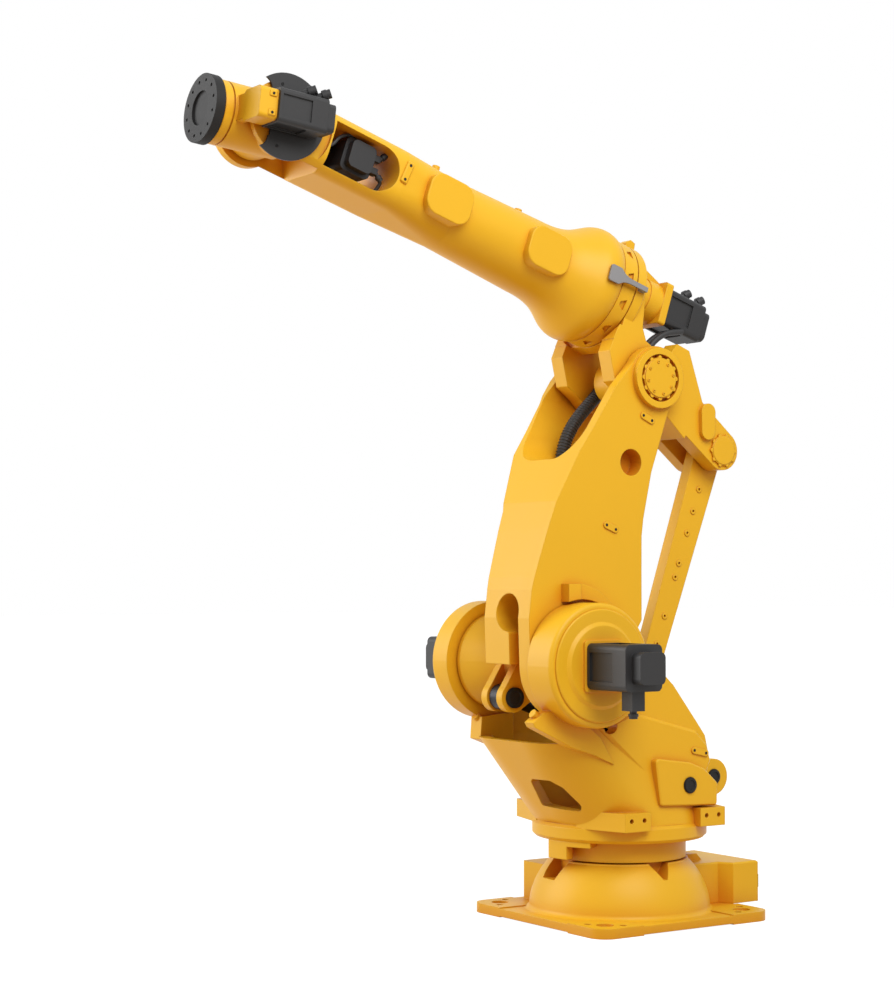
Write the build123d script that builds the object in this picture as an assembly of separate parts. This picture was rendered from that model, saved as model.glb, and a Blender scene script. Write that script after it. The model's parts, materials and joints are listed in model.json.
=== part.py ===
from build123d import *
from math import cos, sin, radians, sqrt
import os

# Six-axis robot arm with a parallelogram linkage and a gas balancer. Millimetres. The column turns about Z,
# the floor is Z = 0, the arm reaches along +X, and +Y is the arm's left side.

# Clearances, angles and common allowances
OVERRUN = 50.0
RUNNING = 0.05
TURN_GAP = 5.0
SIDE_GAP = 5.0
SEAT = 1.0
EIGHTH_TURN = 45.0
QUARTER_TURN = 90.0
FULL_TURN = 360.0

# Foot plate and pedestal
BASE_SIDE = 854.0
BASE_CORNER_R = 70.0
PLATE_THICK = 30.0
PAD_SIDE = 205.0
PAD_THICK = 38.0
PAD_STEP = 4.0
ANCHOR_R = 14.0
ANCHOR_OUT = 380.0
ANCHOR_IN = 285.0
JACK_R = 20.0
JACK_SINK_R = 34.0
JACK_SINK_DEPTH = 9.0
JACK_OUT = 340.0
DOME_FOOT_R = 358.0
DOME_FILLET = 22.0
DOME_MID_R = 338.0
DOME_MID_Z = 135.0
DOME_TOP_R = 272.0
DOME_TOP_Z = 236.0
DOME_LIP = 6.0
NOTCH_DEPTH = 40.0
V_NOTCH_ANGLE = 86.0
V_NOTCH_TOP = 46.0
V_NOTCH_LOW = 9.0
V_NOTCH_LOW_Z = 178.0
STOP_NOTCH_ANGLE = -8.0
STOP_NOTCH_TOP = 62.0
STOP_NOTCH_LOW = 46.0
STOP_NOTCH_LOW_Z = 164.0
FAR_BLOCK_HALF_X = 185.0
FAR_BLOCK_OUT_Y = -400.0
FAR_BLOCK_TOP_Z = 187.0
FAR_BLOCK_CORNER = 14.0
SPIGOT_R = 150.0
SPIGOT_DEPTH = 90.0

# Connection box behind the pedestal
BOX_FRONT_X = -180.0
BOX_FLARE_X = -393.0
BOX_WIDE_X = -428.0
BOX_REAR_X = -560.0
BOX_NECK_HALF_Y = 142.0
BOX_HALF_Y = 196.0
BOX_TOP_Z = 197.0
BOX_EDGE = 6.0
SOCKET_R = 26.0
SOCKET_LENGTH = 16.0
SOCKET_RISE = 115.0
SOCKET_PITCH = 95.0
TOP_WEDGE_HALF_Y = 60.0
TOP_WEDGE_REAR_X = -380.0
TOP_WEDGE_FRONT_X = -300.0
TOP_WEDGE_RISE = 28.0

# Turntable and column
TURN_R = 264.0
RING_LOW_Z = 322.0
RING_TOP_Z = 388.0
RING_R = 346.0
RING_EDGE = 12.0
BODY_LOW_SIDE = 655.0
BODY_LOW_CORNER = 300.0
RIM_Z = 715.0
RIM_FRONT_X = 545.0
RIM_REAR_X = -215.0
RIM_CORNER = 200.0
RIM_WALL = 40.0
FLOOR_Z = 412.0
WELL_LOW_REAR_X = -230.0
WELL_LOW_FRONT_X = 265.0
WELL_LOW_NEAR_Y = 235.0
WELL_LOW_FAR_Y = -245.0
WELL_LOW_CORNER = 130.0
REAR_GATE_NEAR_Y = 200.0
REAR_GATE_FAR_Y = -165.0
REAR_GATE_LOW_Z = 470.0
CHEEK_NEAR_IN = 252.0
CHEEK_NEAR_MID = 288.0
CHEEK_NEAR_OUT = 302.0
CHEEK_FAR_IN = -285.0
CHEEK_FAR_OUT = -330.0
CHEEK_REAR = ((-41.0, 924.0), (-154.0, 783.0), (-201.0, 723.0), (-225.0, 625.0), (-150.0, 430.0))
CHEEK_FRONT_X = 345.0
CHEEK_LOW_FRONT = (110.0, 500.0)
CHEEK_TOP_ANGLE = 120.0
CHEEK_LOW_ANGLE = -25.0
CHEEK_PLATE = ((330.0, 770.0), (222.0, 807.0), (164.0, 827.0), (-150.0, 745.0), (-205.0, 690.0),
               (-225.0, 625.0), (-150.0, 450.0), (60.0, 450.0), (120.0, 590.0))
CHEEK_BEVEL = 12.0
CHEEK_HOLE_X = 280.0
CHEEK_HOLE_Z = 780.0
CHEEK_HOLE_R = 32.0
NOSE_OUTLINE = ((500.0, 900.0), (565.0, 846.0), (602.0, 838.0), (649.0, 804.0), (638.0, 786.0),
                (465.0, 704.0), (362.0, 672.0), (267.0, 632.0), (330.0, 735.0), (400.0, 790.0))
NOSE_HIGH_Y = 306.0
FAR_NOSE_OUTLINE = ((330.0, 800.0), (400.0, 800.0), (486.0, 790.0), (492.0, 702.0), (380.0, 660.0),
                    (330.0, 640.0))
FAR_NOSE_NEAR_Y = -258.0
KNOB_R = 17.0
KNOB_LENGTH = 44.0
KNOB_TILT = 55.0
NEAR_KNOB = (612.0, 276.0, 826.0)
FAR_KNOB = (474.0, -294.0, 782.0)
WINDOW_ANGLE = 30.0
WINDOW_OUTLINE = ((217.0, 566.0), (110.0, 566.0), (60.0, 541.0), (0.0, 469.0), (12.0, 446.0),
                  (193.0, 456.0))
WINDOW_CORNER = 16.0
WINDOW_FROM_R = 170.0
FRAME_ARM = ((313.0, 130.0), (249.0, 350.0), (124.0, 350.0), (124.0, 240.0), (230.0, 110.0))
FRAME_ARM_TOP_Z = 447.0
FRAME_HOLE_R = 9.0
FRAME_HOLE_DEPTH = 40.0
FRAME_HOLE_PITCH = 62.0
SIDE_PAD_IN = 250.0
SIDE_PAD_OUT = 335.0
SIDE_PAD_OUTLINE = ((86.0, 648.0), (61.0, 465.0), (-224.0, 452.0), (-226.0, 540.0), (-160.0, 598.0),
                    (-88.0, 625.0))
SIDE_PAD_CORNER = 14.0
SIDE_PAD_BEVEL = 5.0
SIDE_PIN_X = -83.0
SIDE_PIN_Z = 538.0
SIDE_PIN_R = 31.0
SIDE_PIN_PROUD = 5.0
SIDE_PIN_DEPTH = 60.0
CHEEK_PAD_ENDS = ((-131.0, 668.0), (-190.0, 655.0))
SMALL_PAD_R = 13.0
SMALL_PAD_PROUD = 6.0
SMALL_PAD_HOLE_R = 4.0
FINGER_LOW_ANGLE = -4.0
FINGER_HOOK_ANGLE = 14.0
FINGER_HIGH_ANGLE = 32.0
FINGER_PLATE = 20.0
FINGER_HOOK_R = 296.0
FINGER_LOW_Z = 252.0

# Shoulder
SHOULDER_X = 401.0
SHOULDER_Z = 1013.0
DRUM_R = 235.0
DRUM_OUT = 395.0
DRUM_EDGE = 16.0
COVER_R = 212.0
COVER_THICK = 8.0
COVER_RIM = 4.0
COVER_STEP_R = 150.0
COVER_STEP = 10.0
COVER_SLOPE = 14.0
ADAPTER_SIDE = 190.0
ADAPTER_THICK = 10.0
ADAPTER_CORNER = 12.0
NEAR_TRUNNION_R = 95.0
FAR_TRUNNION_R = 120.0
FAR_TRUNNION_LENGTH = 48.0
MOTOR_SIDE = 172.0
MOTOR_LENGTH = 226.0
MOTOR_CORNER = 22.0
MOTOR_CAP_SIDE = 118.0
MOTOR_CAP_LENGTH = 52.0
MOTOR_PLUG = (62.0, 58.0, 74.0)
RIDGE_START_SHARE = 0.06
RIDGE_END_SHARE = 0.66
RIDGE_WIDTH_SHARE = 0.62
RIDGE_DEPTH_SHARE = 0.05

# Lower arm
ELBOW_X = 3.0
ELBOW_Z = 2121.0
ARM_NEAR_Y = 245.0
ARM_FAR_Y = -250.0
EAR_R = 127.0
EAR_THICK = 45.0
EAR_REAR_ANGLE = 210.0
ARM_FRONT = ((108.0, 2189.0), (206.0, 2079.0), (311.0, 1923.0), (381.0, 1825.0), (449.0, 1707.0),
             (492.0, 1632.0), (534.0, 1524.0), (567.0, 1429.0), (597.0, 1342.0), (609.0, 1296.0),
             (622.0, 1189.0))
ARM_REAR = ((81.0, 1177.0), (81.0, 1363.0), (80.0, 1502.0), (71.0, 1571.0), (30.0, 1753.0), (-16.0, 1880.0),
            (-62.0, 2009.0))
ARM_FAR_SIDE = ((-250.0, 2140.0), (-215.0, 2040.0), (-190.0, 1830.0), (-87.0, 1600.0), (-45.0, 1290.0))
POCKET_FLOOR_Z = 1800.0
POCKET_CORNER = 120.0
HUB_NEAR_R = 215.0
LEG_NEAR_IN = 175.0
FAR_HUB_Y = -278.0
FAR_HUB_R = 190.0
FAR_HUB_RIM = 20.0
FAR_HUB_SMALL_R = 100.0
LEG_FAR_IN = 112.0
ARCH_TOP_Z = 1282.0
ARCH_LOW_Y = 30.0
ARCH_SLOPE_Z = 1130.0
FACE_HOLE_X = 132.0
FACE_HOLE_Z = 1788.0
FACE_HOLE_R = 52.0
FACE_HOLE_DEPTH = 70.0
FACE_PADS = (((72.0, 1973.0), (30.0, 1954.0)), ((256.0, 1544.0), (212.0, 1527.0)))
RING_BOSS_R = 118.5
RING_BOSS_PROUD = 26.0
RING_RECESS_R = 93.0
CAP_R = 76.0
CAP_SINK = 24.0
CAP_PROUD = 2.0
CAP_LUG_R = 9.0
CAP_LUG_REACH = 80.0
CAP_LUG_COUNT = 12
STOP_IN_R = 247.0
STOP_OUTLINE = ((470.0, 1318.0), (385.0, 1318.0), (320.0, 1296.0), (268.0, 1258.0), (236.0, 1226.0),
                (330.0, 1100.0), (470.0, 1100.0))
STOP_BLOCK_X = 413.0
STOP_THICK = 30.0
STOP_BLOCK_THICK = 48.0
HOSE_R = 27.0
HOSE_OFFSET_Y = -80.0
HOSE_LOW_X = 226.0
HOSE_TOP_X = 20.0
HOSE_TOP_Z = 2100.0
HOSE_DEPTH = 40.0
HOSE_TOP_LEAN_SHARE = -0.9

# Parallelogram: tail, link rod and crank
TAIL_REACH = 472.0
TAIL_ANGLE = 214.5
TAIL_R = 79.0
TAIL_NEAR_IN = 116.0
TAIL_NEAR_OUT = 190.0
TAIL_FAR_IN = 16.0
TAIL_FAR_OUT = -44.0
TAIL_UPPER = ((-60.0, 100.0), (-100.0, 190.0), (-166.0, 187.0), (-294.0, 16.0))
TAIL_ROOT = (-80.0, -75.0)
TAIL_WEB_SHARE = 0.6
TAIL_WEB_INNER_SHARE = 0.5
TAIL_LUG = (-322.0, -18.0)
TAIL_LUG_R = 36.0
TAIL_LUG_ROOT = (-345.0, -90.0)
TAIL_LUG_ROOT_R = 34.0
TAIL_LUG_PROUD = 20.0
TAIL_PIN_R = 34.0
TAIL_CAP_R = 56.0
TAIL_CAP_LUG_R = 8.0
TAIL_CAP_LUG_REACH = 60.0
TAIL_CAP_LUG_COUNT = 10
TAIL_CAP_THICK = 10.0
LINK_LOW_Y = 53.0
LINK_HIGH_Y = 108.0
LINK_TOP_WIDTH = 136.0
LINK_LOW_WIDTH = 88.0
LINK_BOSS_R = 13.0
LINK_BOSS_HOLE_R = 5.0
LINK_BOSS_PROUD = 4.0
LINK_BOSS_SHARES = (0.14, 0.22, 0.3, 0.41, 0.46, 0.6, 0.7, 0.82)
CRANK_LOW_Y = 118.0
CRANK_HIGH_Y = 168.0
CRANK_HUB_R = 105.0
CRANK_TIP_R = 62.0
CRANK_JOURNAL_R = 60.0
CRANK_JOURNAL_LENGTH = 68.0
CRANK_PIN_R = 32.0

# Balancer
SHOULDER_HIGH_ANGLE = 65.0
BALANCER_Y = -40.0
CLEVIS_X = 535.0
CLEVIS_Z = 881.0
CLEVIS_R = 58.0
CLEVIS_GAP = 62.0
CLEVIS_EAR = 38.0
CLEVIS_PIN_R = 28.0
CLEVIS_PIN_HEAD_R = 40.0
CLEVIS_PIN_HEAD = 10.0
LUG_X = -465.0
LUG_Z = 527.0
LUG_R = 73.0
LUG_EAR = 40.0
LUG_GAP = 74.0
LUG_PIN_R = 31.0
LUG_PIN_PROUD = 6.0
CYLINDER_R = 78.0
CYLINDER_BORE_R = 69.0
CYLINDER_START = 205.0
CYLINDER_END = 560.0
CYLINDER_WALL = 30.0
CYLINDER_EYE_R = 55.0
PISTON_ROD_R = 23.0
PISTON_END_GAP = 12.0
PISTON_ROD_EYE_R = 50.0
EYE_CLEAR = 6.0

# Elbow housing and roll motor, along the forearm from the elbow axis
ARM_PITCH = 18.25
ROLL_OFFSET = 303.0
SEAM_ALONG = 183.0
HOUSING_R = 222.0
HOUSING_LENGTH = 48.0
HOUSING_EDGE = 10.0
HOUSING_BOSS_R = 172.0
HOUSING_BOSS_LENGTH = 35.0
HOUSING_HALF_Y = 190.0
ELBOW_HUB_R = 112.0
LEG_IN_Y = 116.0
LEG_OUTLINE = ((107.0, 290.0), (160.0, 290.0), (203.0, 130.0), (211.0, 40.0), (150.0, -62.0), (0.0, -112.0),
               (-112.0, 0.0), (10.0, 131.0), (53.0, 142.0), (85.0, 186.0))
WEB_OUTLINE = ((203.0, 130.0), (208.0, 92.0), (120.0, 84.0), (64.0, 120.0), (70.0, 150.0), (100.0, 190.0),
               (118.0, 260.0), (160.0, 290.0))
HUB_TUBE_R = 84.0
ELBOW_TRUNNION_R = 62.0
ELBOW_TRUNNION_LENGTH = 34.0
NECK_R = 84.0
NECK_RISE = 62.0
NECK_END = -56.0
NECK_BAND_R = 88.0
NECK_BAND_SHARE = 0.35
TOP_RIB = ((140.0, 515.0), (-56.0, 452.0), (-56.0, 420.0), (140.0, 470.0))
TOP_RIB_HALF_Y = 34.0
TOP_LUG = ((150.0, 505.0), (150.0, 548.0), (132.0, 566.0), (108.0, 560.0), (100.0, 505.0))
TOP_LUG_HALF_Y = 26.0
ROLL_PLATE_SIDE = 178.0
ROLL_PLATE_THICK = 33.0
ROLL_MOTOR_SIDE = 156.0
ROLL_MOTOR_LENGTH = 196.0
ROLL_CAP_SIDE = 124.0
ROLL_CAP_LENGTH = 38.0
ROLL_PLUG = (40.0, 40.0, 26.0)
ROLL_PLUG_SHARES = (0.55, 0.93)
ROLL_JOURNAL_R = 150.0
ROLL_JOURNAL_LENGTH = 55.0

# Forearm, along the forearm from the elbow axis
FOREARM_RING = 68.0
FOREARM_LIP = 3.0
FLARE_PROFILE = ((0.0, 0.0), (28.0, 12.0), (78.0, 10.0), (124.0, -14.0), (184.0, -46.0), (264.0, -66.0))
TUBE_R = 152.0
TUBE_END_R = 138.0
RECESS_COUNT = 12
RECESS_WIDE = 44.0
RECESS_NARROW = 14.0
RECESS_LONG = 26.0
RECESS_DEPTH = 9.0
RECESS_START_ANGLE = 10.0
FORK_HALF_Y = 158.0
FORK_HALF_Z = 120.0
FORK_CORNER = 74.0
FORK_BLEND_BACK = 790.0
FORK_BACK = 520.0
FORK_IN_Y = 121.0
FORK_SEAT_Y = 145.0
FORK_SEAT_R = 190.0
FORK_END_R = 134.0
FORK_THROAT = 138.0
FORK_THROAT_LEAN = 56.0
SLOT_BACK = 496.0
SLOT_LENGTH = 299.0
SLOT_HALF_Z = 86.0
SLOT_DROP = 8.0
WRIST_REACH = 1797.0
BEND_BORE_R = 70.0
PAD_SHARES = (0.327, 0.597)
ARM_PAD = (196.0, 156.0)
ARM_PAD_CUT = 46.0
ARM_PAD_OUT = 172.0
ARM_PAD_EDGE = 6.0
BEND_MOTOR_SIDE = 128.0
BEND_MOTOR_SET = 152.0
BEND_MOTOR_RISE = 10.0
BEND_MOTOR_LOW_Y = -105.0
BEND_MOTOR_HIGH_Y = 92.0
BEND_CAP_SIDE = 104.0
BEND_CAP_LENGTH = 34.0
BEND_FOOT = 48.0
TOP_BOSS_SHARES = (0.372, 0.597)
TOP_BOSS_R = 15.0
TOP_BOSS_PROUD = 12.0

# Grey seam bracket
BRACKET_WIDE = 66.0
BRACKET_NARROW = 34.0
BRACKET_THICK = 8.0
BRACKET_LIFT = 20.0
BRACKET_BACK = 33.0
BRACKET_FOOT = 5.0
BRACKET_HEAD = 102.0
BRACKET_FRONT = 160.0
BRACKET_ANGLE = 88.0

# Wrist and tool flange, along the flange axis from the bend axis
WRIST_PITCH = 6.0
WRIST_HALF_Y = 108.0
WRIST_R = 112.0
WRIST_BARREL_R = 116.0
WRIST_BARREL_START = -52.0
WRIST_GROOVE = 184.0
WRIST_GROOVE_WIDTH = 6.0
WRIST_GROOVE_DEPTH = 7.0
WRIST_FRONT = 222.0
MOTOR_SEAT_BACK = 100.0
MOTOR_SEAT_FRONT = 172.0
MOTOR_SEAT_LOW_Y = 152.0
MOTOR_SEAT_HIGH_Y = 270.0
MOTOR_SEAT_SIDE = 112.0
MOTOR_FOOT_BACK = 140.0
MOTOR_FOOT_LOW_Y = 80.0
MOTOR_FOOT_HALF_Z = 46.0
FLANGE_FACE = 264.0
FLANGE_THICK = 36.0
FLANGE_R = 125.0
FLANGE_PCD = 200.0
FLANGE_HOLE_R = 6.0
FLANGE_HOLE_COUNT = 12
FLANGE_RECESS_R = 62.5
FLANGE_RECESS_DEPTH = 8.0
FLANGE_JOURNAL_R = 80.0
FLANGE_JOURNAL_LENGTH = 60.0
GUARD_R = 156.0
GUARD_LOW_Y = 150.0
GUARD_HIGH_Y = 158.0
GUARD_HOOK_R = 44.0
GUARD_HOOK_X = 112.0
GUARD_FRONT_X = 62.0
GUARD_HOOK_Z = 82.0
TURN_MOTOR_SIDE = 126.0
TURN_MOTOR_CORNER = 16.0
TURN_MOTOR_LENGTH = 196.0
TURN_MOTOR_CAP = 34.0
TURN_MOTOR_CAP_SIDE = 104.0
TURN_PLUG = (28.0, 28.0, 22.0)
TURN_PLUG_SHARES = (0.62, 0.92)


def slab(outline, y_low, y_high):
    """Outline in X and Z, drawn out along Y."""
    face = make_face(Polyline(*outline, close=True))
    return extrude(Plane.XZ.offset(-y_high) * face, amount=y_high - y_low)


def disc(x, z, radius, y_low, y_high):
    """Round bar along Y."""
    return Pos(x, (y_low + y_high) / 2, z) * Rot(QUARTER_TURN, 0, 0) * Cylinder(radius, y_high - y_low)


def post(radius, z_low, z_high):
    """Round bar along Z on the column's axis."""
    return Pos(0, 0, (z_low + z_high) / 2) * Cylinder(radius, z_high - z_low)


def bar(radius, x_low, x_high, y=0, z=0):
    """Round bar along X."""
    return Pos((x_low + x_high) / 2, y, z) * Rot(0, QUARTER_TURN, 0) * Cylinder(radius, x_high - x_low)


def block(x_low, x_high, y_low, y_high, z_low, z_high):
    """Box between six faces."""
    centre = Pos((x_low + x_high) / 2, (y_low + y_high) / 2, (z_low + z_high) / 2)
    return centre * Box(x_high - x_low, y_high - y_low, z_high - z_low)


def tapered_bar(start, end, start_r, end_r, y_low, y_high):
    """Two round eyes joined by straight flanks, as an outline in X and Z drawn out along Y."""
    run_x = end[0] - start[0]
    run_z = end[1] - start[1]
    length = sqrt(run_x * run_x + run_z * run_z)
    side_x = -run_z / length
    side_z = run_x / length
    outline = [(start[0] + side_x * start_r, start[1] + side_z * start_r),
               (end[0] + side_x * end_r, end[1] + side_z * end_r),
               (end[0] - side_x * end_r, end[1] - side_z * end_r),
               (start[0] - side_x * start_r, start[1] - side_z * start_r)]
    web = slab(outline, y_low, y_high)
    return web + disc(*start, start_r, y_low, y_high) + disc(*end, end_r, y_low, y_high)


def corner_motor(side, length, corner):
    """Square motor body along +X from the origin, with rounded long edges."""
    body = block(0, length, -side / 2, side / 2, -side / 2, side / 2)
    return fillet(body.edges().filter_by(Axis.X), corner)


def servo(side, length, corner, cap_side, cap_length):
    """Servo motor along +X from the origin: body with corner ridges, rear housing and smaller end cap."""
    body = corner_motor(side, length, corner)
    half_width = side * RIDGE_WIDTH_SHARE / 2
    floor = side / 2 - side * RIDGE_DEPTH_SHARE
    for quarter in range(4):
        channel = block(length * RIDGE_START_SHARE, length * RIDGE_END_SHARE, -half_width, half_width,
                        floor, side)
        body -= Rot(quarter * QUARTER_TURN, 0, 0) * channel
    return body + Pos(length - SEAT, 0, 0) * corner_motor(cap_side, cap_length + SEAT, corner)


def lug_ring(x, z, reach, lug_r, count, y_low, y_high):
    """Ring of small round lugs along Y, one per cap screw."""
    lugs = disc(x, z, reach, y_low, y_high)
    for index in range(count):
        angle = radians(FULL_TURN / count * index)
        lugs += disc(x + reach * cos(angle), z + reach * sin(angle), lug_r, y_low, y_high)
    return lugs


def small_pad(ends, face_y):
    """Oblong pad with two small holes, on a face that looks along +Y."""
    pad = tapered_bar(*ends, SMALL_PAD_R, SMALL_PAD_R, face_y - SEAT, face_y + SMALL_PAD_PROUD)
    for x, z in ends:
        pad -= disc(x, z, SMALL_PAD_HOLE_R, face_y, face_y + OVERRUN)
    return pad


tail_x = ELBOW_X + TAIL_REACH * cos(radians(TAIL_ANGLE))
tail_z = ELBOW_Z + TAIL_REACH * sin(radians(TAIL_ANGLE))
crank_x = SHOULDER_X + tail_x - ELBOW_X
crank_z = SHOULDER_Z + tail_z - ELBOW_Z
arm_place = Location((ELBOW_X, 0, ELBOW_Z), (0, -ARM_PITCH, 0))
wrist_x = ELBOW_X + WRIST_REACH * cos(radians(ARM_PITCH)) - ROLL_OFFSET * sin(radians(ARM_PITCH))
wrist_z = ELBOW_Z + WRIST_REACH * sin(radians(ARM_PITCH)) + ROLL_OFFSET * cos(radians(ARM_PITCH))
wrist_place = Location((wrist_x, 0, wrist_z), (0, -WRIST_PITCH, 0))


def foot_plate():
    """Square foot plate with four thicker corner pads."""
    plate = Pos(0, 0, PAD_STEP + PLATE_THICK / 2) * extrude(
        RectangleRounded(BASE_SIDE, BASE_SIDE, BASE_CORNER_R), amount=PLATE_THICK / 2, both=True)
    limits = extrude(RectangleRounded(BASE_SIDE, BASE_SIDE, BASE_CORNER_R), amount=PAD_THICK)
    reach = (BASE_SIDE - PAD_SIDE) / 2
    for side_x in (-1, 1):
        for side_y in (-1, 1):
            pad = Pos(side_x * reach, side_y * reach, PAD_THICK / 2) * Box(PAD_SIDE, PAD_SIDE, PAD_THICK)
            plate += pad & limits
    return plate


def bell():
    """Bell-shaped pedestal with a filleted foot."""
    plate_z = PAD_STEP + PLATE_THICK
    foot_z = plate_z - PLATE_THICK / 2
    root_r = DOME_FOOT_R + DOME_FILLET
    bite = DOME_FILLET * (1 - cos(radians(EIGHTH_TURN)))
    edge = Polyline((0, DOME_TOP_Z), (0, foot_z), (root_r, foot_z), (root_r, plate_z))
    foot = ThreePointArc((root_r, plate_z), (DOME_FOOT_R + bite, plate_z + bite),
                         (DOME_FOOT_R, plate_z + DOME_FILLET))
    side = ThreePointArc((DOME_FOOT_R, plate_z + DOME_FILLET), (DOME_MID_R, DOME_MID_Z),
                         (DOME_TOP_R, DOME_TOP_Z - DOME_LIP))
    lip = Polyline((DOME_TOP_R, DOME_TOP_Z - DOME_LIP), (DOME_TOP_R, DOME_TOP_Z), (0, DOME_TOP_Z))
    return revolve(Plane.XZ * make_face(edge + foot + side + lip), axis=Axis.Z)


def bell_notch(angle, half_top, half_low, low_z):
    """Notch in the bell's upper edge, drawn out away from the column's axis."""
    top_z = DOME_TOP_Z + OVERRUN
    outline = [(-half_top, top_z), (-half_top, DOME_TOP_Z), (-half_low, low_z), (half_low, low_z),
               (half_top, DOME_TOP_Z), (half_top, top_z)]
    return Rot(0, 0, angle - QUARTER_TURN) * slab(outline, DOME_TOP_R - NOTCH_DEPTH, DOME_FOOT_R + OVERRUN)


def base_casting():
    """Foot plate, corner pads, bell-shaped pedestal and far-side block, bored for the turntable's spigot."""
    plate_z = PAD_STEP + PLATE_THICK
    far_block = block(-FAR_BLOCK_HALF_X, FAR_BLOCK_HALF_X, FAR_BLOCK_OUT_Y, 0, plate_z - SEAT,
                      FAR_BLOCK_TOP_Z)
    casting = foot_plate() + fillet(far_block.edges().filter_by(Axis.Z), FAR_BLOCK_CORNER)
    casting += bell()
    casting -= bell_notch(V_NOTCH_ANGLE, V_NOTCH_TOP, V_NOTCH_LOW, V_NOTCH_LOW_Z)
    casting -= bell_notch(STOP_NOTCH_ANGLE, STOP_NOTCH_TOP, STOP_NOTCH_LOW, STOP_NOTCH_LOW_Z)
    casting -= post(SPIGOT_R + RUNNING, DOME_TOP_Z - SPIGOT_DEPTH - TURN_GAP, DOME_TOP_Z + OVERRUN)
    for side_x in (-1, 1):
        for side_y in (-1, 1):
            spots = ((ANCHOR_OUT, ANCHOR_IN), (ANCHOR_IN, ANCHOR_OUT))
            for out_x, out_y in spots:
                casting -= Pos(side_x * out_x, side_y * out_y, 0) * Cylinder(ANCHOR_R,
                                                                             PAD_THICK + OVERRUN * 2)
            jack = Pos(side_x * JACK_OUT, side_y * JACK_OUT, 0)
            casting -= jack * Cylinder(JACK_R, PAD_THICK + OVERRUN * 2)
            sink = Pos(0, 0, PAD_THICK) * Cylinder(JACK_SINK_R, JACK_SINK_DEPTH * 2)
            casting -= jack * sink
    return casting


def connection_box():
    """Box behind the pedestal: a neck round the bell, flared to a wider rear, with a wedge on top."""
    low_z = PAD_STEP + PLATE_THICK
    outline = [(BOX_FRONT_X, BOX_NECK_HALF_Y), (BOX_FLARE_X, BOX_NECK_HALF_Y), (BOX_WIDE_X, BOX_HALF_Y),
               (BOX_REAR_X, BOX_HALF_Y)]
    outline += [(x, -y) for x, y in reversed(outline)]
    shell = Pos(0, 0, low_z) * extrude(make_face(Polyline(*outline, close=True)), amount=BOX_TOP_Z - low_z)
    shell = chamfer(shell.faces().sort_by(Axis.Z)[-1].edges(), BOX_EDGE)
    wedge = [(TOP_WEDGE_REAR_X, BOX_TOP_Z - SEAT),
             (TOP_WEDGE_REAR_X + TOP_WEDGE_RISE, BOX_TOP_Z + TOP_WEDGE_RISE),
             (TOP_WEDGE_FRONT_X, BOX_TOP_Z + TOP_WEDGE_RISE), (TOP_WEDGE_FRONT_X, BOX_TOP_Z - SEAT)]
    shell += slab(wedge, -TOP_WEDGE_HALF_Y, TOP_WEDGE_HALF_Y)
    return shell - bell()


def box_sockets():
    """Row of plug sockets on the box's rear face."""
    rail = block(BOX_REAR_X - SOCKET_LENGTH / 2, BOX_REAR_X, -SOCKET_PITCH * 2, SOCKET_PITCH * 2,
                 SOCKET_RISE - SOCKET_R, SOCKET_RISE + SOCKET_R)
    for step in (-1, 0, 1):
        rail += bar(SOCKET_R, BOX_REAR_X - SOCKET_LENGTH, BOX_REAR_X, step * SOCKET_PITCH, SOCKET_RISE)
    return rail


def rounded_well(rear_x, front_x, far_y, near_y, corner, z):
    """Rounded rectangle at one height, between four limits."""
    shape = RectangleRounded(front_x - rear_x, near_y - far_y, corner)
    return Plane.XY.offset(z) * Pos((front_x + rear_x) / 2, (near_y + far_y) / 2) * shape


def column_body():
    """Bucket that leans forward from the flange ring to its rim, with an open well and a gate at the rear."""
    half = BODY_LOW_SIDE / 2
    low = rounded_well(-half, half, -half, half, BODY_LOW_CORNER, RING_TOP_Z - SEAT)
    rim = rounded_well(RIM_REAR_X, RIM_FRONT_X, CHEEK_FAR_OUT, CHEEK_NEAR_MID, RIM_CORNER, RIM_Z)
    return loft([low, rim], ruled=True)


def column_well():
    """Space inside the column between the cheeks, open at the top and at the rear."""
    low = rounded_well(WELL_LOW_REAR_X, WELL_LOW_FRONT_X, WELL_LOW_FAR_Y, WELL_LOW_NEAR_Y, WELL_LOW_CORNER,
                       FLOOR_Z)
    rim = rounded_well(RIM_REAR_X + RIM_WALL, RIM_FRONT_X - RIM_WALL, CHEEK_FAR_IN, CHEEK_NEAR_IN,
                       RIM_CORNER - RIM_WALL, RIM_Z + SEAT)
    well = loft([low, rim], ruled=True)
    top_z = SHOULDER_Z + DRUM_R * 2
    well += block(RIM_REAR_X * 2, SHOULDER_X + DRUM_R * 2, CHEEK_FAR_IN, CHEEK_NEAR_IN, RIM_Z, top_z)
    return well + block(RIM_REAR_X * 2, 0, REAR_GATE_FAR_Y, REAR_GATE_NEAR_Y, REAR_GATE_LOW_Z, top_z)


def on_drum(angle):
    """Point on the shoulder drum's rim, as an X and Z pair."""
    return SHOULDER_X + DRUM_R * cos(radians(angle)), SHOULDER_Z + DRUM_R * sin(radians(angle))


def stop_knob(spot):
    """Round rubber-faced knob on a cheek's front end."""
    return Pos(*spot) * Rot(0, KNOB_TILT, 0) * Cylinder(KNOB_R, KNOB_LENGTH)


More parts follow.
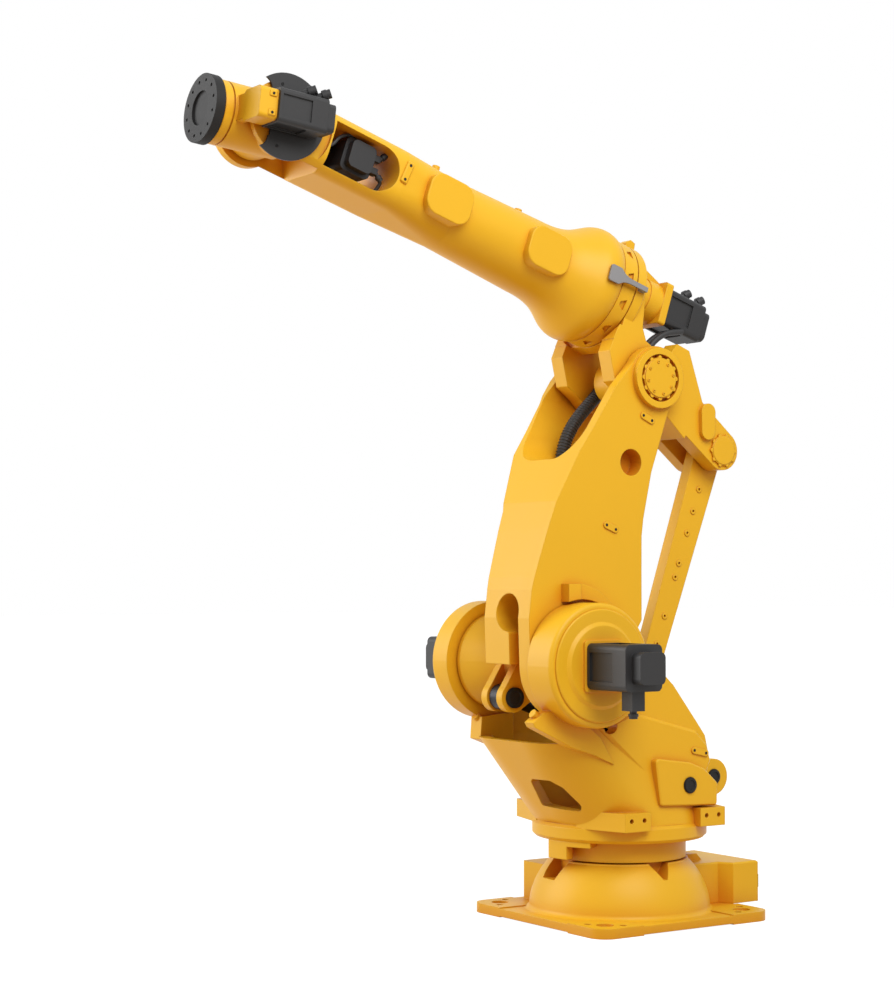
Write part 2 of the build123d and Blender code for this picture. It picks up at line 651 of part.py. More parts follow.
def frame_arms():
    """Four arms that grow from the flange ring, each ending in a flat block with two holes."""
    low_z = RING_TOP_Z - RING_EDGE
    arm = Pos(0, 0, low_z) * extrude(make_face(Polyline(*FRAME_ARM, close=True)),
                                     amount=FRAME_ARM_TOP_Z - low_z)
    face_y = FRAME_ARM[1][1]
    mid_x = (FRAME_ARM[1][0] + FRAME_ARM[2][0]) / 2
    mid_z = (RING_TOP_Z + FRAME_ARM_TOP_Z) / 2
    for side in (-1, 1):
        hole_x = mid_x + side * FRAME_HOLE_PITCH / 2
        arm -= disc(hole_x, mid_z, FRAME_HOLE_R, face_y - FRAME_HOLE_DEPTH, face_y + OVERRUN)
    pair = arm + mirror(arm, Plane.YZ)
    return pair + mirror(pair, Plane.XZ)


def shoulder_drum(y_low, y_high, outer_face):
    """Drum round the shoulder axis with a rounded outer edge."""
    drum = disc(SHOULDER_X, SHOULDER_Z, DRUM_R, y_low, y_high)
    return fillet(drum.faces().sort_by(Axis.Y)[outer_face].edges(), DRUM_EDGE)


def column_casting():
    """Turntable drum, flange ring, leaning bucket with two cheeks, shoulder drums, side pad and rear lugs."""
    low_z = DOME_TOP_Z + TURN_GAP
    casting = post(SPIGOT_R, DOME_TOP_Z - SPIGOT_DEPTH, low_z + SEAT) + post(TURN_R, low_z,
                                                                             RING_LOW_Z + SEAT)
    ring = post(RING_R, RING_LOW_Z, RING_TOP_Z)
    casting += chamfer(ring.edges(), RING_EDGE)
    casting += column_body() + frame_arms()
    outline = [on_drum(CHEEK_TOP_ANGLE)] + list(CHEEK_REAR)
    outline += [CHEEK_LOW_FRONT, (CHEEK_FRONT_X, RIM_Z), on_drum(CHEEK_LOW_ANGLE)]
    casting += slab(outline, CHEEK_NEAR_IN, CHEEK_NEAR_MID) + slab(outline, CHEEK_FAR_OUT, CHEEK_FAR_IN)
    plate = slab(CHEEK_PLATE, CHEEK_NEAR_IN, CHEEK_NEAR_OUT)
    casting += chamfer(plate.faces().sort_by(Axis.Y)[-1].edges(), CHEEK_BEVEL)
    casting += shoulder_drum(CHEEK_NEAR_IN, DRUM_OUT, -1) + shoulder_drum(-DRUM_OUT, CHEEK_FAR_IN, 0)
    casting -= column_well()
    casting += slab(NOSE_OUTLINE, CHEEK_NEAR_IN, NOSE_HIGH_Y) + stop_knob(NEAR_KNOB)
    casting += slab(FAR_NOSE_OUTLINE, CHEEK_FAR_OUT, FAR_NOSE_NEAR_Y) + stop_knob(FAR_KNOB)
    casting += disc(SHOULDER_X, SHOULDER_Z, NEAR_TRUNNION_R, LEG_NEAR_IN + TURN_GAP, CHEEK_NEAR_IN + SEAT)
    casting += disc(SHOULDER_X, SHOULDER_Z, FAR_TRUNNION_R, CHEEK_FAR_IN - SEAT,
                    CHEEK_FAR_IN + FAR_TRUNNION_LENGTH)
    opening = slab(WINDOW_OUTLINE, WINDOW_FROM_R, RIM_FRONT_X + OVERRUN)
    opening = fillet(opening.edges().filter_by(Axis.Y), WINDOW_CORNER)
    casting -= Rot(0, 0, WINDOW_ANGLE - QUARTER_TURN) * opening
    casting -= disc(CHEEK_HOLE_X, CHEEK_HOLE_Z, CHEEK_HOLE_R, CHEEK_NEAR_IN - OVERRUN,
                    CHEEK_NEAR_OUT + OVERRUN)
    side_pad = slab(SIDE_PAD_OUTLINE, SIDE_PAD_IN + SEAT, SIDE_PAD_OUT)
    side_pad = fillet(side_pad.edges().filter_by(Axis.Y), SIDE_PAD_CORNER)
    casting += chamfer(side_pad.faces().sort_by(Axis.Y)[-1].edges(), SIDE_PAD_BEVEL) - column_well()
    casting -= disc(SIDE_PIN_X, SIDE_PIN_Z, SIDE_PIN_R, SIDE_PAD_OUT - SIDE_PIN_DEPTH,
                    SIDE_PAD_OUT + OVERRUN)
    casting += small_pad(CHEEK_PAD_ENDS, CHEEK_NEAR_OUT)
    for side in (-1, 1):
        ear_low = BALANCER_Y + side * (LUG_GAP + LUG_EAR) / 2 - LUG_EAR / 2
        ear = tapered_bar((LUG_X, LUG_Z), (RIM_REAR_X, FLOOR_Z), LUG_R, LUG_R, ear_low, ear_low + LUG_EAR)
        casting += ear
        casting -= disc(LUG_X, LUG_Z, LUG_PIN_R, ear_low - OVERRUN, ear_low + LUG_EAR + OVERRUN)
    return casting


def side_pin():
    """Round pin end in the side pad."""
    return disc(SIDE_PIN_X, SIDE_PIN_Z, SIDE_PIN_R, SIDE_PAD_OUT - SIDE_PIN_DEPTH,
                SIDE_PAD_OUT + SIDE_PIN_PROUD)


def lug_pin():
    """Pin through the rear lugs and the balancer's rear eye."""
    half = LUG_GAP / 2 + LUG_EAR + LUG_PIN_PROUD
    return disc(LUG_X, LUG_Z, LUG_PIN_R, BALANCER_Y - half, BALANCER_Y + half)


def shoulder_cover(side):
    """Stepped round cover on a shoulder drum's outer face, with the motor's square adapter."""
    profile = [(0, 0), (COVER_R, 0), (COVER_R, COVER_THICK - COVER_RIM), (COVER_R - COVER_RIM, COVER_THICK),
               (COVER_STEP_R + COVER_SLOPE, COVER_THICK), (COVER_STEP_R, COVER_THICK + COVER_STEP),
               (0, COVER_THICK + COVER_STEP)]
    cover = Pos(SHOULDER_X, DRUM_OUT, SHOULDER_Z) * revolve(make_face(Polyline(*profile, close=True)),
                                                            axis=Axis.Y)
    half = ADAPTER_SIDE / 2
    start = DRUM_OUT + COVER_THICK + COVER_STEP
    adapter = block(SHOULDER_X - half, SHOULDER_X + half, start - SEAT, start + ADAPTER_THICK,
                    SHOULDER_Z - half, SHOULDER_Z + half)
    cover += fillet(adapter.edges().filter_by(Axis.Y), ADAPTER_CORNER)
    return cover if side > 0 else mirror(cover, Plane.XZ)


def shoulder_motor(side):
    """Motor on a shoulder cover, with its end cap and a plug that points down."""
    start = DRUM_OUT + COVER_THICK + COVER_STEP + ADAPTER_THICK
    motor = servo(MOTOR_SIDE, MOTOR_LENGTH, MOTOR_CORNER, MOTOR_CAP_SIDE, MOTOR_CAP_LENGTH)
    plug_z = -MOTOR_SIDE / 2 - MOTOR_PLUG[2] / 2 + SEAT * 2
    motor += Pos(MOTOR_LENGTH - MOTOR_PLUG[0], 0, plug_z) * Box(*MOTOR_PLUG)
    motor = Location((SHOULDER_X, start, SHOULDER_Z), (0, 0, QUARTER_TURN)) * motor
    return motor if side > 0 else mirror(motor, Plane.XZ)


def ring_sector(low_r, high_r, low_angle, high_angle, z_low, z_high):
    """Piece of a ring about the column's axis, between two angles."""
    reach = high_r * 2
    wedge = [(0, 0)]
    for angle in (low_angle, high_angle):
        wedge.append((reach * cos(radians(angle)), reach * sin(radians(angle))))
    prism = Pos(0, 0, z_low) * extrude(make_face(Polyline(*wedge, close=True)), amount=z_high - z_low)
    return (post(high_r, z_low, z_high) - post(low_r, z_low - OVERRUN, z_high + OVERRUN)) & prism


def stop_finger():
    """Hooked finger under the flange ring that meets the pedestal's stop."""
    plate_z = RING_LOW_Z - FINGER_PLATE
    high_r = RING_R - RING_EDGE
    plate = ring_sector(TURN_R, high_r, FINGER_LOW_ANGLE, FINGER_HIGH_ANGLE, plate_z, RING_LOW_Z)
    return plate + ring_sector(FINGER_HOOK_R, high_r, FINGER_LOW_ANGLE, FINGER_HOOK_ANGLE, FINGER_LOW_Z,
                               RING_LOW_Z)


def arm_blank():
    """Lower arm's side outline, trimmed by its front outline so that the far side tapers."""
    ear_angle = radians(EAR_REAR_ANGLE)
    crown = (ELBOW_X + EAR_R * cos(ear_angle), ELBOW_Z + EAR_R * sin(ear_angle))
    outline = [(SHOULDER_X - HUB_NEAR_R, SHOULDER_Z)] + list(ARM_REAR) + [crown] + list(ARM_FRONT)
    outline.append((SHOULDER_X + HUB_NEAR_R, SHOULDER_Z))
    blank = slab(outline, ARM_FAR_Y, ARM_NEAR_Y) + disc(ELBOW_X, ELBOW_Z, EAR_R, ARM_FAR_Y, ARM_NEAR_Y)
    top_z = ELBOW_Z + EAR_R + OVERRUN
    low_z = SHOULDER_Z - HUB_NEAR_R - OVERRUN
    front = [(ARM_NEAR_Y, low_z), (ARM_NEAR_Y, top_z), (ARM_FAR_Y, top_z)]
    front += list(ARM_FAR_SIDE) + [(ARM_FAR_SIDE[-1][0], low_z)]
    reach = SHOULDER_X + HUB_NEAR_R * 2
    trim = Pos(-reach, 0, 0) * extrude(Plane.YZ * make_face(Polyline(*front, close=True)), amount=reach * 2)
    return blank & trim


def arm_pocket():
    """Round-bottomed fork slot between the elbow ears."""
    reach = SHOULDER_X + HUB_NEAR_R * 2
    top_z = ELBOW_Z + EAR_R + OVERRUN
    near_y = ARM_NEAR_Y - EAR_THICK
    outline = [(near_y, top_z), (ARM_FAR_Y + EAR_THICK, top_z),
               (ARM_FAR_Y + EAR_THICK, ELBOW_Z - EAR_R / 2),
               (ARM_FAR_SIDE[2][0] + EAR_THICK, POCKET_FLOOR_Z), (near_y, POCKET_FLOOR_Z)]
    cutter = Pos(-reach, 0, 0) * extrude(Plane.YZ * make_face(Polyline(*outline, close=True)),
                                         amount=reach * 2)
    return fillet(cutter.edges().filter_by(Axis.X).sort_by(Axis.Z)[0:2], POCKET_CORNER)


def arm_arch():
    """Arch between the two shoulder legs, which narrows towards the shoulder axis."""
    reach = SHOULDER_X + HUB_NEAR_R * 2
    low_z = SHOULDER_Z - HUB_NEAR_R - OVERRUN
    arch_mid = (ARCH_LOW_Y + LEG_NEAR_IN) / 2
    arch_r = (LEG_NEAR_IN - ARCH_LOW_Y) / 2
    spring_z = ARCH_TOP_Z - arch_r
    outline = [(LEG_NEAR_IN, low_z), (LEG_NEAR_IN, spring_z), (ARCH_LOW_Y, spring_z),
               (LEG_FAR_IN, ARCH_SLOPE_Z),
               (LEG_FAR_IN, low_z)]
    opening = Pos(-reach, 0, 0) * extrude(Plane.YZ * make_face(Polyline(*outline, close=True)),
                                          amount=reach * 2)
    return opening + bar(arch_r, -reach, reach, arch_mid, spring_z)


def lower_arm():
    """Lower arm: tapered blank with fork slot, arch, shoulder hubs, clevis and elbow rings."""
    arm = arm_blank() - arm_pocket()
    arm += disc(SHOULDER_X, SHOULDER_Z, HUB_NEAR_R, LEG_NEAR_IN, ARM_NEAR_Y)
    arm -= arm_arch()
    profile = [(0, FAR_HUB_Y), (FAR_HUB_R, FAR_HUB_Y), (FAR_HUB_R, FAR_HUB_Y + FAR_HUB_RIM),
               (FAR_HUB_SMALL_R, ARM_FAR_SIDE[-1][0]), (FAR_HUB_SMALL_R, LEG_FAR_IN), (0, LEG_FAR_IN)]
    cone = revolve(make_face(Polyline(*profile, close=True)), axis=Axis.Y)
    arm += Pos(SHOULDER_X, 0, SHOULDER_Z) * cone
    for side in (-1, 1):
        ear_low = BALANCER_Y + side * (CLEVIS_GAP + CLEVIS_EAR) / 2 - CLEVIS_EAR / 2
        arm += tapered_bar((CLEVIS_X, CLEVIS_Z), (SHOULDER_X, SHOULDER_Z), CLEVIS_R, FAR_HUB_SMALL_R,
                           ear_low, ear_low + CLEVIS_EAR)
        arm -= disc(CLEVIS_X, CLEVIS_Z, CLEVIS_PIN_R, ear_low - SEAT, ear_low + CLEVIS_EAR + SEAT)
    eye_room = PISTON_ROD_EYE_R + TURN_GAP * 2
    arm -= disc(CLEVIS_X, CLEVIS_Z, eye_room, BALANCER_Y - CLEVIS_GAP / 2, BALANCER_Y + CLEVIS_GAP / 2)
    for side_y in (ARM_NEAR_Y, ARM_FAR_Y):
        sign = 1 if side_y > 0 else -1
        ends = sorted((side_y - sign * SEAT, side_y + sign * RING_BOSS_PROUD))
        arm += disc(ELBOW_X, ELBOW_Z, RING_BOSS_R, *ends)
        sink = sorted((side_y + sign * (RING_BOSS_PROUD - CAP_SINK),
                       side_y + sign * (RING_BOSS_PROUD + OVERRUN)))
        arm -= disc(ELBOW_X, ELBOW_Z, RING_RECESS_R, *sink)
        inner = side_y - sign * EAR_THICK
        bore = sorted((inner - sign * OVERRUN, inner + sign * (ELBOW_TRUNNION_LENGTH + SEAT)))
        arm -= disc(ELBOW_X, ELBOW_Z, ELBOW_TRUNNION_R + RUNNING, *bore)
    hose_mid_z = POCKET_FLOOR_Z + HOSE_DEPTH / 2
    arm -= Pos(HOSE_LOW_X, HOSE_OFFSET_Y, hose_mid_z) * Cylinder(HOSE_R + SIDE_GAP, HOSE_DEPTH * 3)
    arm -= disc(FACE_HOLE_X, FACE_HOLE_Z, FACE_HOLE_R, ARM_NEAR_Y - FACE_HOLE_DEPTH, ARM_NEAR_Y + OVERRUN)
    for ends in FACE_PADS:
        arm += small_pad(ends, ARM_NEAR_Y)
    arm -= disc(SHOULDER_X, SHOULDER_Z, NEAR_TRUNNION_R + RUNNING, LEG_NEAR_IN - OVERRUN,
                ARM_NEAR_Y + OVERRUN)
    arm -= disc(SHOULDER_X, SHOULDER_Z, FAR_TRUNNION_R + RUNNING, FAR_HUB_Y - OVERRUN,
                CHEEK_FAR_IN + FAR_TRUNNION_LENGTH + TURN_GAP)
    arm -= disc(SHOULDER_X, SHOULDER_Z, CRANK_JOURNAL_R + RUNNING,
                LEG_FAR_IN - CRANK_JOURNAL_LENGTH - TURN_GAP,
                LEG_FAR_IN + OVERRUN)
    return arm


def arm_stop():
    """Crescent stop on the arm's near face above the shoulder drum, with a square block at its front end."""
    stop = slab(STOP_OUTLINE, ARM_NEAR_Y, ARM_NEAR_Y + STOP_THICK)
    stop += block(STOP_BLOCK_X, STOP_OUTLINE[0][0], ARM_NEAR_Y, ARM_NEAR_Y + STOP_BLOCK_THICK,
                  SHOULDER_Z, STOP_OUTLINE[0][1])
    room = disc(SHOULDER_X, SHOULDER_Z, STOP_IN_R, ARM_NEAR_Y - OVERRUN,
                ARM_NEAR_Y + STOP_BLOCK_THICK + OVERRUN)
    return stop - room


def elbow_cap(side):
    """Round cap in an elbow ring, with a lug for each screw on its rim."""
    face = (ARM_NEAR_Y if side > 0 else -ARM_FAR_Y) + RING_BOSS_PROUD
    cap = disc(ELBOW_X, ELBOW_Z, CAP_R, face - CAP_SINK, face + CAP_PROUD)
    cap += lug_ring(ELBOW_X, ELBOW_Z, CAP_LUG_REACH, CAP_LUG_R, CAP_LUG_COUNT, face - CAP_SINK,
                    face - CAP_PROUD)
    return cap if side > 0 else mirror(cap, Plane.XZ)


def clevis_pin():
    """Pin through the front clevis, with a round head on the near side."""
    half = CLEVIS_GAP / 2 + CLEVIS_EAR
    pin = disc(CLEVIS_X, CLEVIS_Z, CLEVIS_PIN_R, BALANCER_Y - half, BALANCER_Y + half)
    return pin + disc(CLEVIS_X, CLEVIS_Z, CLEVIS_PIN_HEAD_R, BALANCER_Y + half,
                      BALANCER_Y + half + CLEVIS_PIN_HEAD)


def crank():
    """Crank about the shoulder axis with its journal in the far leg."""
    arm = tapered_bar((SHOULDER_X, SHOULDER_Z), (crank_x, crank_z), CRANK_HUB_R, CRANK_TIP_R,
                      CRANK_LOW_Y, CRANK_HIGH_Y)
    arm += disc(SHOULDER_X, SHOULDER_Z, CRANK_JOURNAL_R, LEG_FAR_IN - CRANK_JOURNAL_LENGTH,
                CRANK_LOW_Y + SEAT)
    return arm - disc(crank_x, crank_z, CRANK_PIN_R, CRANK_LOW_Y - OVERRUN, CRANK_HIGH_Y + OVERRUN)


def crank_pin():
    """Pin in the crank's end that carries the link rod."""
    return disc(crank_x, crank_z, CRANK_PIN_R, LINK_LOW_Y, CRANK_HIGH_Y)


def link_rod():
    """Straight rod between the crank and the tail, with a row of small drilled bosses on its near face."""
    rod = tapered_bar((tail_x, tail_z), (crank_x, crank_z), LINK_TOP_WIDTH / 2, LINK_LOW_WIDTH / 2,
                      LINK_LOW_Y, LINK_HIGH_Y)
    for share in LINK_BOSS_SHARES:
        x = tail_x + (crank_x - tail_x) * share
        z = tail_z + (crank_z - tail_z) * share
        rod += disc(x, z, LINK_BOSS_R, LINK_HIGH_Y - SEAT, LINK_HIGH_Y + LINK_BOSS_PROUD)
        rod -= disc(x, z, LINK_BOSS_HOLE_R, LINK_HIGH_Y - LINK_BOSS_R, LINK_HIGH_Y + OVERRUN)
    rod -= disc(tail_x, tail_z, TAIL_PIN_R + RUNNING, LINK_LOW_Y - OVERRUN, LINK_HIGH_Y + OVERRUN)
    return rod - disc(crank_x, crank_z, CRANK_PIN_R + RUNNING, LINK_LOW_Y - OVERRUN, LINK_HIGH_Y + OVERRUN)


def balancer_line():
    """Direction of the balancer from the rear lugs to the clevis, as an X and Z pair, with its length."""
    run_x = CLEVIS_X - LUG_X
    run_z = CLEVIS_Z - LUG_Z
    length = sqrt(run_x * run_x + run_z * run_z)
    return run_x / length, run_z / length, length


def balancer_place():
    """Frame at the rear lugs with X along the balancer."""
    along_x, along_z, length = balancer_line()
    return Location(Plane(origin=(LUG_X, BALANCER_Y, LUG_Z), x_dir=(along_x, 0, along_z),
                          z_dir=(-along_z, 0, along_x)))


def shortest_line():
    """Distance from the rear lugs to the clevis when the arm leans forward as far as it goes."""
    turn = radians(SHOULDER_HIGH_ANGLE)
    run_x = CLEVIS_X - SHOULDER_X
    run_z = CLEVIS_Z - SHOULDER_Z
    low_x = SHOULDER_X + run_x * cos(turn) + run_z * sin(turn)
    low_z = SHOULDER_Z - run_x * sin(turn) + run_z * cos(turn)
    return sqrt((low_x - LUG_X) * (low_x - LUG_X) + (low_z - LUG_Z) * (low_z - LUG_Z))


def balancer_cylinder():
    """Cylinder on the rear lugs, open at the front for the rod."""
    half = LUG_GAP / 2 - EYE_CLEAR
    body = bar(CYLINDER_R, CYLINDER_START, CYLINDER_END)
    body += Rot(QUARTER_TURN, 0, 0) * Cylinder(CYLINDER_EYE_R, half * 2)
    body += block(0, CYLINDER_START + SEAT, -half, half, -CYLINDER_EYE_R, CYLINDER_EYE_R)
    body -= bar(CYLINDER_BORE_R, CYLINDER_START + CYLINDER_WALL, CYLINDER_END + OVERRUN)
    body -= Rot(QUARTER_TURN, 0, 0) * Cylinder(LUG_PIN_R + RUNNING, LUG_GAP + OVERRUN)
    return balancer_place() * body


def balancer_rod():
    """Piston rod from the clevis into the cylinder, clear of its floor when the arm leans forward."""
    length = balancer_line()[2]
    reach = shortest_line() - CYLINDER_START - CYLINDER_WALL - PISTON_END_GAP
    half = CLEVIS_GAP / 2 - EYE_CLEAR
    rod = bar(PISTON_ROD_R, length - reach, length)
    rod += Pos(length, 0, 0) * Rot(QUARTER_TURN, 0, 0) * Cylinder(PISTON_ROD_EYE_R, half * 2)
    rod -= Pos(length, 0, 0) * Rot(QUARTER_TURN, 0, 0) * Cylinder(CLEVIS_PIN_R + RUNNING,
                                                                  CLEVIS_GAP + OVERRUN)
    return balancer_place() * rod


def tail_tip():
    """Tail pin's place beside the elbow axis, in the forearm's own frame."""
    angle = radians(TAIL_ANGLE - ARM_PITCH)
    return TAIL_REACH * cos(angle), TAIL_REACH * sin(angle)


def tail_plates():
    """Two plates from the elbow to the tail pin, with the web between them and an upright lug."""
    tip = tail_tip()
    side = (-tip[1] / TAIL_REACH * TAIL_R, tip[0] / TAIL_REACH * TAIL_R)
    outline = list(TAIL_UPPER) + [(tip[0] - side[0], tip[1] - side[1]),
                                  (tip[0] + side[0], tip[1] + side[1]), TAIL_ROOT]
    web_end = (tip[0] * TAIL_WEB_SHARE + side[0], tip[1] * TAIL_WEB_SHARE + side[1])
    web_inner = (tip[0] * TAIL_WEB_SHARE + side[0] * TAIL_WEB_INNER_SHARE,
                 tip[1] * TAIL_WEB_SHARE + side[1] * TAIL_WEB_INNER_SHARE)
    tail = slab([TAIL_ROOT, web_end, web_inner, (TAIL_ROOT[0], TAIL_ROOT[1] * TAIL_WEB_INNER_SHARE)],
                TAIL_FAR_OUT, TAIL_NEAR_OUT)
    for y_low, y_high in ((TAIL_NEAR_IN, TAIL_NEAR_OUT), (TAIL_FAR_OUT, TAIL_FAR_IN)):
        tail += slab(outline, y_low, y_high) + disc(*tip, TAIL_R, y_low, y_high)
        tail -= disc(*tip, TAIL_PIN_R, y_low - SEAT, y_high + SEAT)
    return tail + tapered_bar(TAIL_LUG, TAIL_LUG_ROOT, TAIL_LUG_R, TAIL_LUG_ROOT_R,
                              TAIL_NEAR_IN, TAIL_NEAR_OUT + TAIL_LUG_PROUD)


def elbow_housing():
    """Housing between the fork ears: drum round the roll axis, yoke legs, motor neck and tail."""
    axis_v = ROLL_OFFSET
    rear = SEAM_ALONG - HOUSING_LENGTH
    drum = bar(HOUSING_R, rear, SEAM_ALONG, 0, axis_v)
    housing = fillet(drum.faces().sort_by(Axis.X)[0].edges(), HOUSING_EDGE)
    housing += bar(HOUSING_BOSS_R, rear - HOUSING_BOSS_LENGTH, rear + SEAT, 0, axis_v)
    housing += slab(WEB_OUTLINE, -HOUSING_HALF_Y, HOUSING_HALF_Y)
    for y_low, y_high in ((LEG_IN_Y, HOUSING_HALF_Y), (-HOUSING_HALF_Y, -LEG_IN_Y)):
        housing += slab(LEG_OUTLINE, y_low, y_high) + disc(0, 0, ELBOW_HUB_R, y_low, y_high)
    housing += disc(0, 0, HUB_TUBE_R, TAIL_FAR_OUT, LEG_IN_Y + SEAT)
    housing += disc(0, 0, ELBOW_TRUNNION_R, HOUSING_HALF_Y - SEAT,
                    ARM_NEAR_Y - EAR_THICK + ELBOW_TRUNNION_LENGTH)
    housing += disc(0, 0, ELBOW_TRUNNION_R, ARM_FAR_Y + EAR_THICK - ELBOW_TRUNNION_LENGTH,
                    SEAT - HOUSING_HALF_Y)
    housing += tail_plates()
    neck_v = axis_v + NECK_RISE
    housing += bar(NECK_R, NECK_END, rear + SEAT, 0, neck_v)
    housing += bar(NECK_BAND_R, NECK_END, NECK_END + (rear - NECK_END) * NECK_BAND_SHARE, 0, neck_v)
    housing += slab(TOP_RIB, -TOP_RIB_HALF_Y, TOP_RIB_HALF_Y) + slab(TOP_LUG, -TOP_LUG_HALF_Y,
                                                                     TOP_LUG_HALF_Y)
    half = ROLL_PLATE_SIDE / 2
    plate = block(NECK_END - ROLL_PLATE_THICK, NECK_END + SEAT, -half, half, neck_v - half, neck_v + half)
    housing += fillet(plate.edges().filter_by(Axis.X), ADAPTER_CORNER)
    housing -= bar(ROLL_JOURNAL_R + RUNNING, SEAM_ALONG - ROLL_JOURNAL_LENGTH - TURN_GAP,
                   SEAM_ALONG + OVERRUN,
                   0, axis_v)
    turning_r = HOUSING_R + max(rise for along, rise in FLARE_PROFILE) + TURN_GAP
    housing -= bar(turning_r, SEAM_ALONG, SEAM_ALONG + OVERRUN * 2, 0, axis_v)
    return arm_place * housing


def tail_pin():
    """Pin through the tail's two plates and the link rod, with a round lugged cap on the near side."""
    pin = disc(tail_x, tail_z, TAIL_PIN_R, TAIL_FAR_OUT, TAIL_NEAR_OUT)
    pin += disc(tail_x, tail_z, TAIL_CAP_R, TAIL_NEAR_OUT, TAIL_NEAR_OUT + TAIL_CAP_THICK)
    return pin + lug_ring(tail_x, tail_z, TAIL_CAP_LUG_REACH, TAIL_CAP_LUG_R, TAIL_CAP_LUG_COUNT,
                          TAIL_NEAR_OUT, TAIL_NEAR_OUT + TAIL_CAP_THICK - SEAT * 2)


def roll_motor():
    """Motor behind the elbow housing, with two plugs on top."""
    neck_v = ROLL_OFFSET + NECK_RISE
    motor = servo(ROLL_MOTOR_SIDE, ROLL_MOTOR_LENGTH, MOTOR_CORNER, ROLL_CAP_SIDE, ROLL_CAP_LENGTH)
    for share in ROLL_PLUG_SHARES:
        plug_z = ROLL_MOTOR_SIDE / 2 - ROLL_MOTOR_SIDE * RIDGE_DEPTH_SHARE + ROLL_PLUG[2] / 2 - SEAT
        motor += Pos(ROLL_MOTOR_LENGTH * share, 0, plug_z) * Box(*ROLL_PLUG)
    return arm_place * (Pos(NECK_END - ROLL_PLATE_THICK, 0, neck_v) * Rot(0, 0, QUARTER_TURN * 2) * motor)


def seam_bracket():
    """Flat grey bracket on the housing's near side, whose stem and wide head bridge the roll seam."""
    lift = HOUSING_R + BRACKET_LIFT
    bracket = block(SEAM_ALONG - BRACKET_BACK, SEAM_ALONG - BRACKET_FOOT, -BRACKET_NARROW / 2,
                    BRACKET_NARROW / 2,
                    HOUSING_R - BRACKET_THICK, lift + SEAT)
    bracket += block(SEAM_ALONG - BRACKET_BACK, SEAM_ALONG + BRACKET_HEAD + SEAT, -BRACKET_NARROW / 2,
                     BRACKET_NARROW / 2, lift, lift + BRACKET_THICK)
    head = block(SEAM_ALONG + BRACKET_HEAD, SEAM_ALONG + BRACKET_FRONT, -BRACKET_WIDE / 2, BRACKET_WIDE / 2,
                 lift, lift + BRACKET_THICK)
    bracket += fillet(head.edges().filter_by(Axis.Z), BRACKET_THICK)
    bracket -= bar(HOUSING_R, 0, SEAM_ALONG)
    return arm_place * (Pos(0, 0, ROLL_OFFSET) * Rot(-BRACKET_ANGLE, 0, 0) * bracket)


def forearm_tube():
    """Flared tube of revolution with its bolted ring at the roll seam."""
    start = SEAM_ALONG + TURN_GAP
    flare = [(start + FOREARM_RING + along, HOUSING_R + rise) for along, rise in FLARE_PROFILE]
    tube_end = WRIST_REACH - FORK_BLEND_BACK
    edge = Polyline((tube_end, TUBE_END_R), (tube_end, 0), (start, 0), (start, HOUSING_R), flare[0])
    curve = Spline(*flare, (flare[-1][0] + FOREARM_RING, TUBE_R))
    straight = Line(curve @ 1, (tube_end, TUBE_END_R))
    tube = revolve(Plane.XZ * make_face(edge + curve + straight), axis=Axis.X)
    seam = start + FOREARM_RING
    return tube - (bar(HOUSING_R * 2, seam - FOREARM_LIP, seam) - bar(HOUSING_R - FOREARM_LIP, start,
                                                                      seam + OVERRUN))


def ring_recesses():
    """Pattern of wedge-shaped recesses round the forearm's bolted ring."""
    mid = SEAM_ALONG + TURN_GAP + FOREARM_RING / 2
    half = RECESS_LONG / 2
    outline = [(mid - half, -RECESS_WIDE / 2), (mid - half, RECESS_WIDE / 2),
               (mid + half, RECESS_NARROW / 2),
               (mid + half, -RECESS_NARROW / 2)]
    recess = Pos(0, 0, HOUSING_R - RECESS_DEPTH) * extrude(make_face(Polyline(*outline, close=True)),
                                                           amount=OVERRUN)
    recesses = []
    for index in range(RECESS_COUNT):
        recesses.append(Rot(RECESS_START_ANGLE + FULL_TURN / RECESS_COUNT * index, 0, 0) * recess)
    return recesses


def octagon_pad(along):
    """Raised eight-sided pad on the forearm's near side, with a bevelled rim."""
    half_x = ARM_PAD[0] / 2
    half_z = ARM_PAD[1] / 2
    outline = []
    for side_x, side_z in ((1, 1), (1, -1), (-1, -1), (-1, 1)):
        ends = [(along + side_x * (half_x - ARM_PAD_CUT), side_z * half_z),
                (along + side_x * half_x, side_z * (half_z - ARM_PAD_CUT))]
        outline += ends if side_x == side_z else ends[::-1]
    pad = slab(outline, 0, ARM_PAD_OUT)
    return chamfer(pad.faces().sort_by(Axis.Y)[-1].edges(), ARM_PAD_EDGE)


